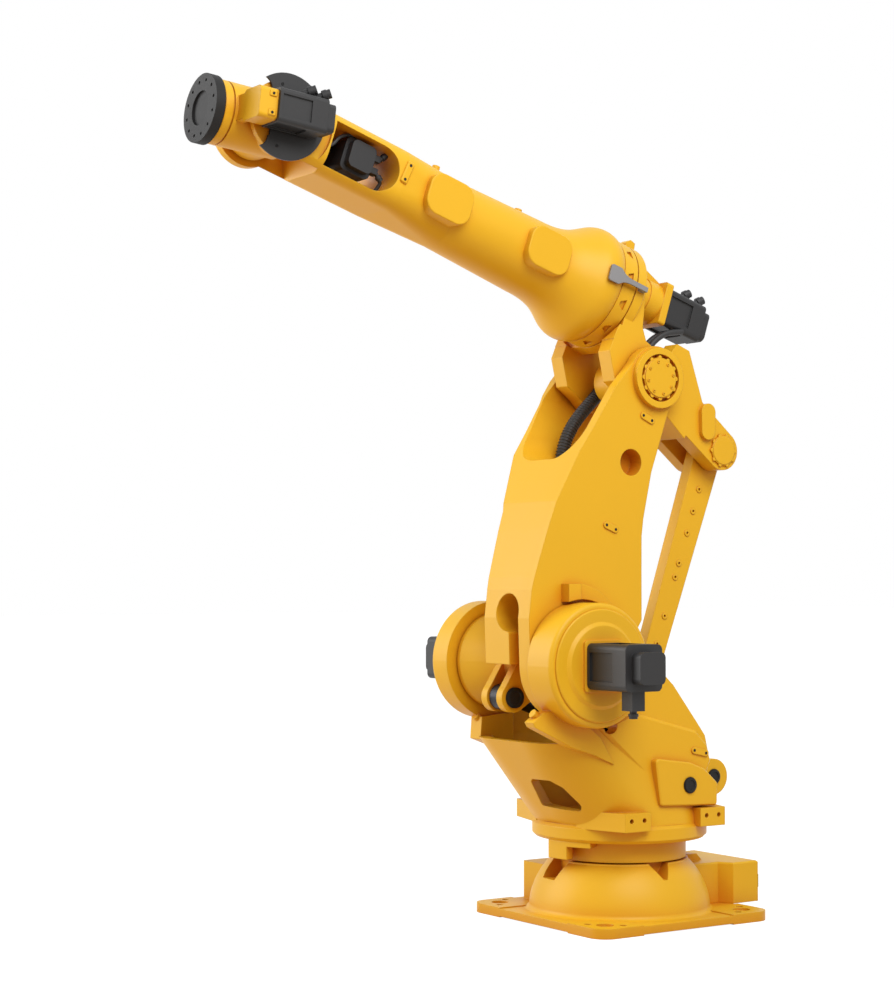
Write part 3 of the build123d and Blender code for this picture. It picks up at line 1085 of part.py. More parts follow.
def fork():
    """Flat-sided fork that the round tube blends into, with its open throat, window and bend bores."""
    tube_end = WRIST_REACH - FORK_BLEND_BACK
    start = WRIST_REACH - FORK_BACK
    section = RectangleRounded(FORK_HALF_Y * 2, FORK_HALF_Z * 2, FORK_CORNER)
    round_end = RectangleRounded(TUBE_END_R * 2, TUBE_END_R * 2, TUBE_END_R - SEAT)
    nose = loft([Plane.YZ.offset(tube_end - SEAT) * round_end, Plane.YZ.offset(start) * section],
                ruled=True)
    nose += extrude(Plane.YZ.offset(start) * section, amount=FORK_BACK)
    nose += disc(WRIST_REACH, 0, FORK_END_R, -FORK_HALF_Y, FORK_HALF_Y)
    throat = WRIST_REACH - FORK_THROAT
    front = WRIST_REACH + FORK_END_R * 2
    lean = FORK_THROAT_LEAN * 2
    reach = FORK_HALF_Z * 2
    opening = [(throat, 0), (throat - lean, reach), (front, reach), (front, -reach),
               (throat - lean, -reach)]
    nose -= slab(opening, -FORK_IN_Y, FORK_IN_Y)
    nose -= disc(WRIST_REACH, 0, FORK_SEAT_R, FORK_SEAT_Y, FORK_HALF_Y + OVERRUN)
    slot_start = WRIST_REACH - SLOT_BACK
    side = FORK_HALF_Y + OVERRUN
    window = block(slot_start + SLOT_HALF_Z, slot_start + SLOT_LENGTH, -side, side, -SLOT_HALF_Z,
                   SLOT_HALF_Z)
    window += disc(slot_start + SLOT_HALF_Z, 0, SLOT_HALF_Z, -side, side)
    nose -= Pos(0, 0, -SLOT_DROP) * window
    return nose - disc(WRIST_REACH, 0, BEND_BORE_R + RUNNING, -side, side)


def forearm():
    """Forearm: flared tube with roll journal and bolted ring, raised pads, bosses and the wrist fork."""
    arm = forearm_tube() + fork()
    arm += bar(ROLL_JOURNAL_R, SEAM_ALONG - ROLL_JOURNAL_LENGTH, SEAM_ALONG + TURN_GAP + SEAT)
    for share in PAD_SHARES:
        arm += octagon_pad(WRIST_REACH * share)
    for share in TOP_BOSS_SHARES:
        low_z = TUBE_END_R / 2
        high_z = TUBE_R + TOP_BOSS_PROUD
        arm += Pos(WRIST_REACH * share, 0, (low_z + high_z) / 2) * Cylinder(TOP_BOSS_R, high_z - low_z)
    for recess in ring_recesses():
        arm -= recess
    return arm_place * (Pos(0, 0, ROLL_OFFSET) * arm)


def bend_motor():
    """Motor across the forearm's window, on a foot that reaches the window's front end."""
    slot_end = WRIST_REACH - SLOT_BACK + SLOT_LENGTH
    along = slot_end - BEND_MOTOR_SET
    length = BEND_MOTOR_HIGH_Y - BEND_MOTOR_LOW_Y
    motor = servo(BEND_MOTOR_SIDE, length, MOTOR_CORNER, BEND_CAP_SIDE, BEND_CAP_LENGTH)
    motor = Location((along, BEND_MOTOR_LOW_Y, BEND_MOTOR_RISE), (0, 0, QUARTER_TURN)) * motor
    half = BEND_MOTOR_SIDE / 2
    motor += block(along, slot_end, BEND_MOTOR_LOW_Y, BEND_MOTOR_LOW_Y + BEND_FOOT,
                   BEND_MOTOR_RISE - half, BEND_MOTOR_RISE + half)
    return arm_place * (Pos(0, 0, ROLL_OFFSET) * motor)


def wrist_housing():
    """Wrist between the fork arms: grooved barrel for the flange, bend journals and motor seat."""
    body = disc(0, 0, WRIST_R, -WRIST_HALF_Y, WRIST_HALF_Y) + bar(WRIST_BARREL_R, WRIST_BARREL_START,
                                                                  WRIST_FRONT)
    groove_end = WRIST_GROOVE + WRIST_GROOVE_WIDTH
    groove = bar(WRIST_BARREL_R + OVERRUN, WRIST_GROOVE, groove_end)
    body -= groove - bar(WRIST_BARREL_R - WRIST_GROOVE_DEPTH, WRIST_GROOVE, groove_end)
    body += disc(0, 0, BEND_BORE_R, -FORK_HALF_Y, GUARD_LOW_Y)
    body += block(MOTOR_FOOT_BACK, MOTOR_SEAT_FRONT, MOTOR_FOOT_LOW_Y, MOTOR_SEAT_LOW_Y + SEAT,
                  -MOTOR_FOOT_HALF_Z, MOTOR_FOOT_HALF_Z)
    half = MOTOR_SEAT_SIDE / 2
    seat = block(MOTOR_SEAT_BACK, MOTOR_SEAT_FRONT, MOTOR_SEAT_LOW_Y, MOTOR_SEAT_HIGH_Y, -half, half)
    body += fillet(seat.edges().filter_by(Axis.X), TURN_MOTOR_CORNER)
    body -= bar(FLANGE_JOURNAL_R + RUNNING, WRIST_FRONT - FLANGE_JOURNAL_LENGTH - TURN_GAP,
                WRIST_FRONT + OVERRUN)
    return wrist_place * body


def guard_disc():
    """Black C-shaped guard on the near journal, open in front with a hook above and below."""
    low_y = GUARD_LOW_Y - OVERRUN
    high_y = GUARD_HIGH_Y + OVERRUN
    plate = disc(0, 0, GUARD_R, GUARD_LOW_Y, GUARD_HIGH_Y)
    plate -= block(GUARD_FRONT_X, GUARD_R * 2, low_y, high_y, -GUARD_HOOK_Z, GUARD_HOOK_Z)
    for side in (-1, 1):
        plate -= disc(GUARD_HOOK_X, side * GUARD_HOOK_Z, GUARD_HOOK_R, low_y, high_y)
    return wrist_place * plate


def turn_motor():
    """Motor on the guard, parallel to the flange axis, with two plugs on top."""
    motor = servo(TURN_MOTOR_SIDE, TURN_MOTOR_LENGTH, TURN_MOTOR_CORNER, TURN_MOTOR_CAP_SIDE,
                  TURN_MOTOR_CAP)
    for share in TURN_PLUG_SHARES:
        plug_z = TURN_MOTOR_SIDE / 2 - TURN_MOTOR_SIDE * RIDGE_DEPTH_SHARE + TURN_PLUG[2] / 2 - SEAT
        motor += Pos(TURN_MOTOR_LENGTH * share, 0, plug_z) * Box(*TURN_PLUG)
    mid_y = GUARD_HIGH_Y + TURN_MOTOR_SIDE / 2
    return wrist_place * (Pos(MOTOR_SEAT_BACK, mid_y, 0) * Rot(0, 0, QUARTER_TURN * 2) * motor)


def tool_flange():
    """Round tool flange with its bolt circle, centre recess and journal."""
    flange = bar(FLANGE_R, FLANGE_FACE - FLANGE_THICK, FLANGE_FACE)
    flange += bar(FLANGE_JOURNAL_R, WRIST_FRONT - FLANGE_JOURNAL_LENGTH, FLANGE_FACE - FLANGE_THICK + SEAT)
    flange -= bar(FLANGE_RECESS_R, FLANGE_FACE - FLANGE_RECESS_DEPTH, FLANGE_FACE + OVERRUN)
    for index in range(FLANGE_HOLE_COUNT):
        angle = radians(FULL_TURN / FLANGE_HOLE_COUNT * (index + 0.5))
        flange -= bar(FLANGE_HOLE_R, FLANGE_FACE - FLANGE_THICK - OVERRUN, FLANGE_FACE + OVERRUN,
                      FLANGE_PCD / 2 * cos(angle), FLANGE_PCD / 2 * sin(angle))
    return wrist_place * flange


def pocket_hose():
    """Thick hose from the pocket floor of the lower arm up towards the elbow axis."""
    path = Spline((HOSE_LOW_X, HOSE_OFFSET_Y, POCKET_FLOOR_Z - HOSE_DEPTH),
                  (HOSE_TOP_X, HOSE_OFFSET_Y, HOSE_TOP_Z),
                  tangents=((0, 0, 1), (HOSE_TOP_LEAN_SHARE, 0, 1)))
    section = Plane(path @ 0, z_dir=path % 0) * Circle(HOSE_R)
    return sweep(section, path=path)


nodes = {
    "base_casting": base_casting(),
    "connection_box": connection_box(),
    "box_sockets": box_sockets(),
    "column_casting": column_casting(),
    "side_pin": side_pin(),
    "lug_pin": lug_pin(),
    "near_shoulder_cover": shoulder_cover(1),
    "far_shoulder_cover": shoulder_cover(-1),
    "near_shoulder_motor": shoulder_motor(1),
    "far_shoulder_motor": shoulder_motor(-1),
    "stop_finger": stop_finger(),
    "lower_arm": lower_arm(),
    "arm_stop": arm_stop(),
    "near_elbow_cap": elbow_cap(1),
    "far_elbow_cap": elbow_cap(-1),
    "clevis_pin": clevis_pin(),
    "pocket_hose": pocket_hose(),
    "crank": crank(),
    "crank_pin": crank_pin(),
    "link_rod": link_rod(),
    "balancer_cylinder": balancer_cylinder(),
    "balancer_rod": balancer_rod(),
    "elbow_housing": elbow_housing(),
    "tail_pin": tail_pin(),
    "roll_motor": roll_motor(),
    "seam_bracket": seam_bracket(),
    "forearm": forearm(),
    "bend_motor": bend_motor(),
    "wrist_housing": wrist_housing(),
    "guard_disc": guard_disc(),
    "turn_motor": turn_motor(),
    "tool_flange": tool_flange(),
}

os.makedirs("parts", exist_ok=True)
for name, shape in nodes.items():
    export_step(shape, f"parts/{name}.step")
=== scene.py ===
import bpy, json, math
from mathutils import Matrix, Vector


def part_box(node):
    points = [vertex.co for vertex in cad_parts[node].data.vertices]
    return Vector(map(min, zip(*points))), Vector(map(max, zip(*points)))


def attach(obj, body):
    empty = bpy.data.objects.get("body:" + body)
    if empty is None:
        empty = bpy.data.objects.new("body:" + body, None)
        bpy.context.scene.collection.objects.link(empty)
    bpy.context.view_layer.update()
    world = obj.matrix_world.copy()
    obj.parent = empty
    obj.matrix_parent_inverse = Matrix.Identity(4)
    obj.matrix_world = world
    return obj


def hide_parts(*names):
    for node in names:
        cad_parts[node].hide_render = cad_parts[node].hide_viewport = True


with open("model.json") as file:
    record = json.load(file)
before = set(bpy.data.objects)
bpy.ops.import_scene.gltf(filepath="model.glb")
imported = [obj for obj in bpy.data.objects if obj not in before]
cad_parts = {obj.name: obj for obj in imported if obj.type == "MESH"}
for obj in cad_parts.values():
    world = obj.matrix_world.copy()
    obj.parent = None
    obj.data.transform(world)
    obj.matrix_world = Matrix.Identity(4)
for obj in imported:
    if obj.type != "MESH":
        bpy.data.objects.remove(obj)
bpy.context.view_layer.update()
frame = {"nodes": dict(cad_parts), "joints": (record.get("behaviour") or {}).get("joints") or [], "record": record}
nodes = frame["nodes"]
scene = bpy.context.scene
joints = {j["name"]: j for j in frame["joints"]}

# Lengths are in metres. The near side of the arm looks along +Y.
NEAR, FAR, DOWN = (0, 1, 0), (0, -1, 0), (0, 0, -1)

# Finishes
PATCH_SCALE, PATCH_DETAIL = 3.0, 3.0
GRAIN_DETAIL, GRAIN_HEIGHT = 2.0, 0.002
ROUGH_SPREAD = 0.08
LEAST_ROUGH = 0.02
# Reach and range of the ambient occlusion that paints shade into creases and hollows
SHADE_REACH = 0.14
SHADE_RANGE = (0.25, 0.85)
NODE_SAMPLES = 6
SHARP_ANGLE = math.radians(38)

# Sockets of a Mix node that mixes colours
MIX_FACTOR, MIX_FIRST, MIX_SECOND, MIX_RESULT = 0, 6, 7, 2

# Points along a ribbed hose for each rib, and which of them are sunk
RIB_POINTS, RIB_SUNK = 4, (0, 1)
SCREW_SINK = 0.002


# Materials
def material(name):
    mat = bpy.data.materials.new(name)
    mat.use_nodes = True
    tree = mat.node_tree
    return mat, tree, tree.nodes["Principled BSDF"]


def mixed(tree, factor, first, second):
    """Colour between two others, each of which is a colour or the output of a node."""
    mix = tree.nodes.new("ShaderNodeMix")
    mix.data_type = "RGBA"
    tree.links.new(factor, mix.inputs[MIX_FACTOR])
    for socket, colour in ((MIX_FIRST, first), (MIX_SECOND, second)):
        if isinstance(colour, bpy.types.NodeSocket):
            tree.links.new(colour, mix.inputs[socket])
        else:
            mix.inputs[socket].default_value = (*colour, 1.0)
    return mix.outputs[MIX_RESULT]


def ranged(tree, value, low, high, start=0.0, end=1.0):
    """Value that goes from low to high while the input goes from start to end."""
    span = tree.nodes.new("ShaderNodeMapRange")
    span.inputs["From Min"].default_value = start
    span.inputs["From Max"].default_value = end
    span.inputs["To Min"].default_value = low
    span.inputs["To Max"].default_value = high
    tree.links.new(value, span.inputs["Value"])
    return span.outputs["Result"]


def noise(tree, scale, detail):
    """Noise in the object's own coordinates."""
    where = tree.nodes.new("ShaderNodeTexCoord")
    texture = tree.nodes.new("ShaderNodeTexNoise")
    texture.inputs["Scale"].default_value = scale
    texture.inputs["Detail"].default_value = detail
    tree.links.new(where.outputs["Object"], texture.inputs["Vector"])
    return texture.outputs["Fac"]


def surface(name, colour, roughness, metallic=0.0, patch=0.06, grain=600.0, bump=0.03, edge=0.0,
            shine=0.5, painted_shade=None):
    """Procedural finish: slow patches of tone, a fine grain, soft edges and painted shade darkening the creases.
    """
    mat, tree, shader = material(name)
    slow = noise(tree, PATCH_SCALE, PATCH_DETAIL)
    low = [c * (1.0 - patch) for c in colour]
    high = [min(1.0, c * (1.0 + patch)) for c in colour]
    tone = mixed(tree, slow, low, high)
    # Painted shade: where ambient occlusion finds creases and hollows, the colour is mixed toward a darker one
    if painted_shade is not None:
        shade_occlusion = tree.nodes.new("ShaderNodeAmbientOcclusion")
        shade_occlusion.samples = NODE_SAMPLES
        shade_occlusion.inputs["Distance"].default_value = SHADE_REACH
        openness = ranged(tree, shade_occlusion.outputs["AO"], 0.0, 1.0, *SHADE_RANGE)
        tone = mixed(tree, openness, painted_shade, tone)
    tree.links.new(tone, shader.inputs["Base Color"])
    gloss = ranged(tree, slow, max(LEAST_ROUGH, roughness - ROUGH_SPREAD), roughness + ROUGH_SPREAD)
    tree.links.new(gloss, shader.inputs["Roughness"])
    height = tree.nodes.new("ShaderNodeBump")
    height.inputs["Strength"].default_value = bump
    height.inputs["Distance"].default_value = GRAIN_HEIGHT
    tree.links.new(noise(tree, grain, GRAIN_DETAIL), height.inputs["Height"])
    if edge:
        soft = tree.nodes.new("ShaderNodeBevel")
        soft.samples = NODE_SAMPLES
        soft.inputs["Radius"].default_value = edge
        tree.links.new(soft.outputs["Normal"], height.inputs["Normal"])
    tree.links.new(height.outputs["Normal"], shader.inputs["Normal"])
    shader.inputs["Metallic"].default_value = metallic
    shader.inputs["Specular IOR Level"].default_value = shine
    return mat


finish_of = {
    # The yellow paint has painted shade: an orange-brown colour mixed in where creases and hollows are occluded
    "yellow_paint": surface("yellow_paint", (0.775, 0.445, 0.017), 0.42, patch=0.03, edge=0.005,
                            shine=0.28, painted_shade=(0.60, 0.20, 0.006)),
    "black_motor": surface("black_motor", (0.018, 0.018, 0.019), 0.48, patch=0.15, grain=900.0,
                           bump=0.06, edge=0.002, shine=0.4),
    "black_steel": surface("black_steel", (0.016, 0.016, 0.0165), 0.58, patch=0.12, edge=0.002,
                           shine=0.2),
    "polished_steel": surface("polished_steel", (0.035, 0.035, 0.038), 0.36, metallic=1.0,
                              grain=1400.0),
    "grey_metal": surface("grey_metal", (0.25, 0.25, 0.26), 0.5, metallic=0.3, edge=0.002),
    "hose_rubber": surface("hose_rubber", (0.018, 0.018, 0.019), 0.55, patch=0.2),
}
for part in frame["record"]["subparts"]:
    obj = nodes[part["node"]]
    obj.data.materials.clear()
    obj.data.materials.append(finish_of[part["material_slot"]])


# Shapes of the small parts: each is a list of points and a list of faces
def turned(profile, place, steps=24):
    """Solid turned about the place's Z axis from (radius, height) points.

    A third entry in a point makes that ring a hexagon.
    """
    verts = [place @ Vector((0.0, 0.0, profile[0][1]))]
    for point in profile:
        for k in range(steps):
            angle = 2 * math.pi * k / steps
            radius = point[0]
            if len(point) > 2:
                radius *= math.cos(math.pi / 6) / math.cos(angle % (math.pi / 3) - math.pi / 6)
            x, y = radius * math.cos(angle), radius * math.sin(angle)
            verts.append(place @ Vector((x, y, point[1])))
    verts.append(place @ Vector((0.0, 0.0, profile[-1][1])))
    faces = []
    rings = len(profile)
    for k in range(steps):
        n = (k + 1) % steps
        faces.append((0, 1 + n, 1 + k))
        for r in range(rings - 1):
            low, high = 1 + r * steps, 1 + (r + 1) * steps
            faces.append((low + k, low + n, high + n, high + k))
        last = 1 + (rings - 1) * steps
        faces.append((last + k, last + n, len(verts) - 1))
    return verts, faces


def smooth_line(points, per):
    """Smooth curve through the points, with a number of steps from each to the next."""
    pts = [Vector(p) for p in points]
    ends = [2 * pts[0] - pts[1]] + pts + [2 * pts[-1] - pts[-2]]
    line = []
    for i in range(1, len(ends) - 2):
        a, b, c, d = ends[i - 1:i + 3]
        for s in range(per):
            t = s / per
            line.append(0.5 * (2 * b + (c - a) * t + (2 * a - 5 * b + 4 * c - d) * t * t
                               + (3 * b - a - 3 * c + d) * t ** 3))
    return line + [pts[-1]]


def even(line, step):
    """The same line with points about a step apart."""
    total = sum((b - a).length for a, b in zip(line, line[1:]))
    count = max(4, round(total / step))
    out, walked, k = [line[0]], 0.0, 0
    for i in range(1, count):
        goal = total * i / count
        while walked + (line[k + 1] - line[k]).length < goal:
            walked += (line[k + 1] - line[k]).length
            k += 1
        leg = line[k + 1] - line[k]
        out.append(line[k] + leg * ((goal - walked) / leg.length))
    return out + [line[-1]]


def tube(points, radius, steps, per=8, rib=0.0, pitch=0.0):
    """Hose along a smooth line through the points; rib and pitch give it rings."""
    line = smooth_line(points, per)
    if pitch:
        line = even(line, pitch / RIB_POINTS)
    side = None
    verts, faces = [], []
    for i, p in enumerate(line):
        run = (line[min(i + 1, len(line) - 1)] - line[max(i - 1, 0)]).normalized()
        if side is None:
            side = run.orthogonal()
        side = (side - run * side.dot(run)).normalized()
        across = run.cross(side)
        size = radius - (rib if pitch and i % RIB_POINTS in RIB_SUNK else 0.0)
        for k in range(steps):
            angle = 2 * math.pi * k / steps
            verts.append(p + (side * math.cos(angle) + across * math.sin(angle)) * size)
    for i in range(len(line) - 1):
        for k in range(steps):
            n = (k + 1) % steps
            faces.append((i * steps + k, i * steps + n, (i + 1) * steps + n, (i + 1) * steps + k))
    faces.append(tuple(reversed(range(steps))))
    faces.append(tuple(range((len(line) - 1) * steps, len(line) * steps)))
    return verts, faces


def block(size, place, edge=0.002):
    """Box about the place's origin with its edges cut off."""
    half_x, half_y, half_z = (s / 2 for s in size)
    verts, faces = [], []
    rings = []
    for z, cut in ((-half_z, edge), (-half_z + edge, 0.0), (half_z - edge, 0.0), (half_z, edge)):
        x, y = half_x - cut, half_y - cut
        ring = [(x, -y + edge), (x, y - edge), (x - edge, y), (-x + edge, y),
                (-x, y - edge), (-x, -y + edge), (-x + edge, -y), (x - edge, -y)]
        rings.append(len(verts))
        verts += [place @ Vector((px, py, z)) for px, py in ring]
    faces.append(tuple(reversed(range(8))))
    for low, high in zip(rings, rings[1:]):
        faces += [(low + k, low + (k + 1) % 8, high + (k + 1) % 8, high + k) for k in range(8)]
    faces.append(tuple(range(rings[-1], rings[-1] + 8)))
    return verts, faces


def plate(half_x, half_z, corner, low, high, place, edge=0.003, steps=10):
    """Plate with round corners and a bevelled rim, from low to high along the place's Y axis."""
    verts, faces = [], []
    count = 4 * (steps + 1)
    for y, cut in ((low, 0.0), (high - edge, 0.0), (high, edge)):
        for quarter, (side_x, side_z) in enumerate(((1, 1), (-1, 1), (-1, -1), (1, -1))):
            for k in range(steps + 1):
                angle = math.pi / 2 * (quarter + k / steps)
                x = side_x * (half_x - corner) + (corner - cut) * math.cos(angle)
                z = side_z * (half_z - corner) + (corner - cut) * math.sin(angle)
                verts.append(place @ Vector((x, y, z)))
    faces.append(tuple(range(count)))
    for low_ring, high_ring in ((0, count), (count, 2 * count)):
        for k in range(count):
            n = (k + 1) % count
            faces.append((low_ring + k, high_ring + k, high_ring + n, low_ring + n))
    faces.append(tuple(reversed(range(2 * count, 3 * count))))
    return verts, faces


def prism(outline, low, high, place):
    """Prism on counter-clockwise (x, y) points, from low to high along the place's Z axis."""
    count = len(outline)
    verts = [place @ Vector((x, y, z)) for z in (low, high) for x, y in outline]
    faces = [tuple(reversed(range(count))), tuple(range(count, 2 * count))]
    faces += [(k, (k + 1) % count, count + (k + 1) % count, count + k) for k in range(count)]
    return verts, faces


def make(name, shapes, slot, body):
    """One mesh from several shapes, in a finish of the record, that moves with a body."""
    verts, faces = [], []
    for shape_verts, shape_faces in shapes:
        start = len(verts)
        verts += shape_verts
        faces += [tuple(start + i for i in face) for face in shape_faces]
    mesh = bpy.data.meshes.new(name)
    mesh.from_pydata([tuple(v) for v in verts], [], faces)
    mesh.shade_smooth()
    mesh.set_sharp_from_angle(angle=SHARP_ANGLE)
    mesh.materials.append(finish_of[slot])
    obj = bpy.data.objects.new(name, mesh)
    scene.collection.objects.link(obj)
    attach(obj, body)
    return obj


# Places: an axis frame has its Z along the axis
# An arm frame has X along the arm, Y across it and Z above it
def axis_at(spot, axis):
    return Matrix.Translation(spot) @ Vector(axis).to_track_quat("Z", "Y").to_matrix().to_4x4()


def arm_frame(spot, axis):
    return Matrix.Translation(spot) @ Matrix.Rotation(-math.atan2(axis[2], axis[0]), 4, "Y")


elbow = Vector(joints["elbow"]["pos_m"])
shoulder = Vector(joints["shoulder"]["pos_m"])
bend = Vector(joints["wrist_bend"]["pos_m"])
upper = arm_frame(elbow, joints["forearm_roll"]["axis"])
wrist = arm_frame(bend, joints["flange_turn"]["axis"])
upper_turn = upper.to_3x3()
wrist_turn = wrist.to_3x3()
roll_z = (upper.inverted() @ Vector(joints["forearm_roll"]["pos_m"])).z
wrist_reach = (upper.inverted() @ bend).x


# Fasteners and plugs
def screw(place, head=0.006, tall=0.004):
    """Socket-head screw standing on the place's XY plane."""
    socket = head * 0.55
    return turned([(head, -SCREW_SINK), (head, tall * 0.8), (head * 0.85, tall),
                   (socket, tall, True), (socket, tall * 0.3, True)], place)


def pad_screws(spots, head=0.0055, tall=0.0015):
    """Flat screws at spots on faces that look to the near side."""
    return [screw(axis_at(spot, NEAR), head, tall) for spot in spots]


def screw_ring(spot, axis, radius, count, start):
    place = axis_at(spot, axis)
    angles = [start + 2 * math.pi * k / count for k in range(count)]
    return [screw(place @ Matrix.Translation((radius * math.cos(a), radius * math.sin(a), 0.0)))
            for a in angles]


def connector(place, reach=0.05, radius=0.02):
    """Round plug with a nut, along the place's Z axis."""
    r = radius
    return turned([(r * 0.7, 0.0), (r * 0.7, reach * 0.35), (r, reach * 0.38), (r, reach * 0.72),
                   (r * 0.85, reach * 0.75), (r * 0.85, reach), (r * 0.55, reach)], place, steps=20)


def pin_ring(node):
    """Raised ring with a sunk middle on a pin's near end."""
    low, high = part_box(node)
    radius = (high.x - low.x) / 2
    profile = [(0.92, -0.001), (0.92, 0.003), (0.84, 0.004), (0.64, 0.004), (0.58, 0.0005)]
    place = axis_at(((low.x + high.x) / 2, high.y, (low.z + high.z) / 2), NEAR)
    return turned([(share * radius, rise) for share, rise in profile], place, steps=32)


# Screws of the elbow caps
CAP_SCREW_RADIUS, CAP_SCREWS, CAP_SCREW_START = 0.063, 8, 0.2
near_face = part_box("near_elbow_cap")[1].y
far_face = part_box("far_elbow_cap")[0].y
cap_screws = []
for face_y, axis in ((near_face, NEAR), (far_face, FAR)):
    cap_screws += screw_ring((elbow.x, face_y, elbow.z), axis, CAP_SCREW_RADIUS, CAP_SCREWS,
                             CAP_SCREW_START)
make("elbow_cap_screws", cap_screws, "yellow_paint", "lower_arm")

# Screws of the small pads
ARM_PAD_FACE, CHEEK_PAD_FACE = 0.251, 0.308
ARM_PAD_ENDS = ((0.072, 1.973), (0.030, 1.954), (0.256, 1.544), (0.212, 1.527))
CHEEK_PAD_ENDS = ((-0.131, 0.668), (-0.190, 0.655))
make("arm_pad_screws", pad_screws([(x, ARM_PAD_FACE, z) for x, z in ARM_PAD_ENDS]),
     "black_steel", "lower_arm")
make("cheek_pad_screws", pad_screws([(x, CHEEK_PAD_FACE, z) for x, z in CHEEK_PAD_ENDS]),
     "black_steel", "column")

# Rings on the ends of the pins
make("column_pin_rings", [pin_ring("side_pin"), pin_ring("lug_pin")], "black_steel", "column")
make("clevis_pin_ring", [pin_ring("clevis_pin")], "black_steel", "lower_arm")

# Ribbed hose in the pocket of the lower arm, along the middle line of the solid that it replaces
HOSE_Y, HOSE_RADIUS, HOSE_RIB, HOSE_PITCH = -0.080, 0.027, 0.0035, 0.012
HOSE_LINE = ((0.226, 1.760), (0.2225, 1.8114), (0.2112, 1.8615), (0.1911, 1.9089), (0.1633, 1.9522),
             (0.1298, 1.9913), (0.0933, 2.0276), (0.0559, 2.0631), (0.020, 2.100))
hose = make("ribbed_hose", [tube([(x, HOSE_Y, z) for x, z in HOSE_LINE], HOSE_RADIUS, steps=24,
                                 rib=HOSE_RIB, pitch=HOSE_PITCH)], "hose_rubber", "lower_arm")
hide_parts("pocket_hose")

# Plugs of the roll motor and of the flange motor
ROLL_PLUG_AXIS, TURN_PLUG_AXIS = (-0.88, 0.25, 0.42), (-0.80, 0.50, 0.33)
ROLL_PLUGS = ((-0.197, 0.0, 0.452), (-0.271, 0.0, 0.452))
TURN_PLUGS = ((-0.0215, 0.221, 0.074), (-0.080, 0.221, 0.074))
make("roll_motor_plugs",
     [connector(axis_at(upper @ Vector(p), ROLL_PLUG_AXIS)) for p in ROLL_PLUGS],
     "black_motor", "upper_arm")
make("turn_motor_plugs",
     [connector(axis_at(wrist @ Vector(p), TURN_PLUG_AXIS)) for p in TURN_PLUGS],
     "black_motor", "wrist")

# Plugs below the shoulder motors
SHOULDER_PLUG_OUT, SHOULDER_PLUG_SINK = 0.587, 0.001
SHOULDER_PLUG_REACH, SHOULDER_PLUG_RADIUS = 0.03, 0.019
for name, node, side in (("near_shoulder_plug", "near_shoulder_motor", 1),
                         ("far_shoulder_plug", "far_shoulder_motor", -1)):
    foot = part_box(node)[0].z
    plug_place = axis_at((shoulder.x, side * SHOULDER_PLUG_OUT, foot + SHOULDER_PLUG_SINK), DOWN)
    make(name, [connector(plug_place, SHOULDER_PLUG_REACH, SHOULDER_PLUG_RADIUS)],
         "black_motor", "column")


# Pad with two screws beside the forearm's window
def on_face(x, z, node):
    """Point of a node's near side, met from +Y at that place of the upper arm's frame."""
    start = upper @ Vector((x, 1.0, z))
    return nodes[node].ray_cast(start, Vector(FAR))[1]


WINDOW_PAD, WINDOW_PAD_PROUD, WINDOW_PAD_EDGE = (0.030, 0.016, 0.088), 0.008, 0.004
WINDOW_PAD_ENDS = ((1.276, 0.294), (1.268, 0.352))
low_pad, high_pad = (on_face(x, z, "forearm") for x, z in WINDOW_PAD_ENDS)
pad_y = max(low_pad.y, high_pad.y) + WINDOW_PAD_PROUD
middle = (low_pad + high_pad) / 2
lean = math.atan2(high_pad.x - low_pad.x, high_pad.z - low_pad.z)
pad_place = (Matrix.Translation((middle.x, pad_y - WINDOW_PAD_PROUD, middle.z))
             @ Matrix.Rotation(lean, 4, "Y"))
make("window_pad", [block(WINDOW_PAD, pad_place, WINDOW_PAD_EDGE)], "yellow_paint", "forearm")
make("window_pad_screws", pad_screws([(q.x, pad_y, q.z) for q in (low_pad, high_pad)]),
     "black_steel", "forearm")

# Covers with round corners over the forearm's raised pads
COVER_HALF_X, COVER_HALF_Z, COVER_CORNER = 0.100, 0.080, 0.056
COVER_IN, COVER_OUT = 0.105, 0.178
COVER_SHARES = (0.327, 0.597)
covers = [plate(COVER_HALF_X, COVER_HALF_Z, COVER_CORNER, COVER_IN, COVER_OUT,
                upper @ Matrix.Translation((wrist_reach * share, 0.0, roll_z)))
          for share in COVER_SHARES]
make("forearm_pad_covers", covers, "yellow_paint", "forearm")

# Bracket over the roll seam, whose stem flares into its head, on a foot
BRACKET_ANGLE = math.radians(-88.0)
BRACKET_LOW, BRACKET_HIGH = 0.242, 0.250
BRACKET_FOOT, BRACKET_FOOT_EDGE = (0.028, 0.020, 0.029), 0.001
BRACKET_FOOT_SPOT = (0.164, 0.0, 0.2285)
BRACKET_FLANK = [(0.150, 0.010), (0.236, 0.010), (0.256, 0.0125), (0.272, 0.018), (0.284, 0.026),
                 (0.293, 0.033), (0.336, 0.033), (0.343, 0.028)]
seam_place = upper @ Matrix.Translation((0.0, 0.0, roll_z)) @ Matrix.Rotation(BRACKET_ANGLE, 4, "X")
bracket_outline = [(x, -y) for x, y in BRACKET_FLANK] + BRACKET_FLANK[::-1]
bracket = make("flared_bracket",
               [prism(bracket_outline, BRACKET_LOW, BRACKET_HIGH, seam_place),
                block(BRACKET_FOOT, seam_place @ Matrix.Translation(BRACKET_FOOT_SPOT),
                      BRACKET_FOOT_EDGE)], "grey_metal", "upper_arm")
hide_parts("seam_bracket")

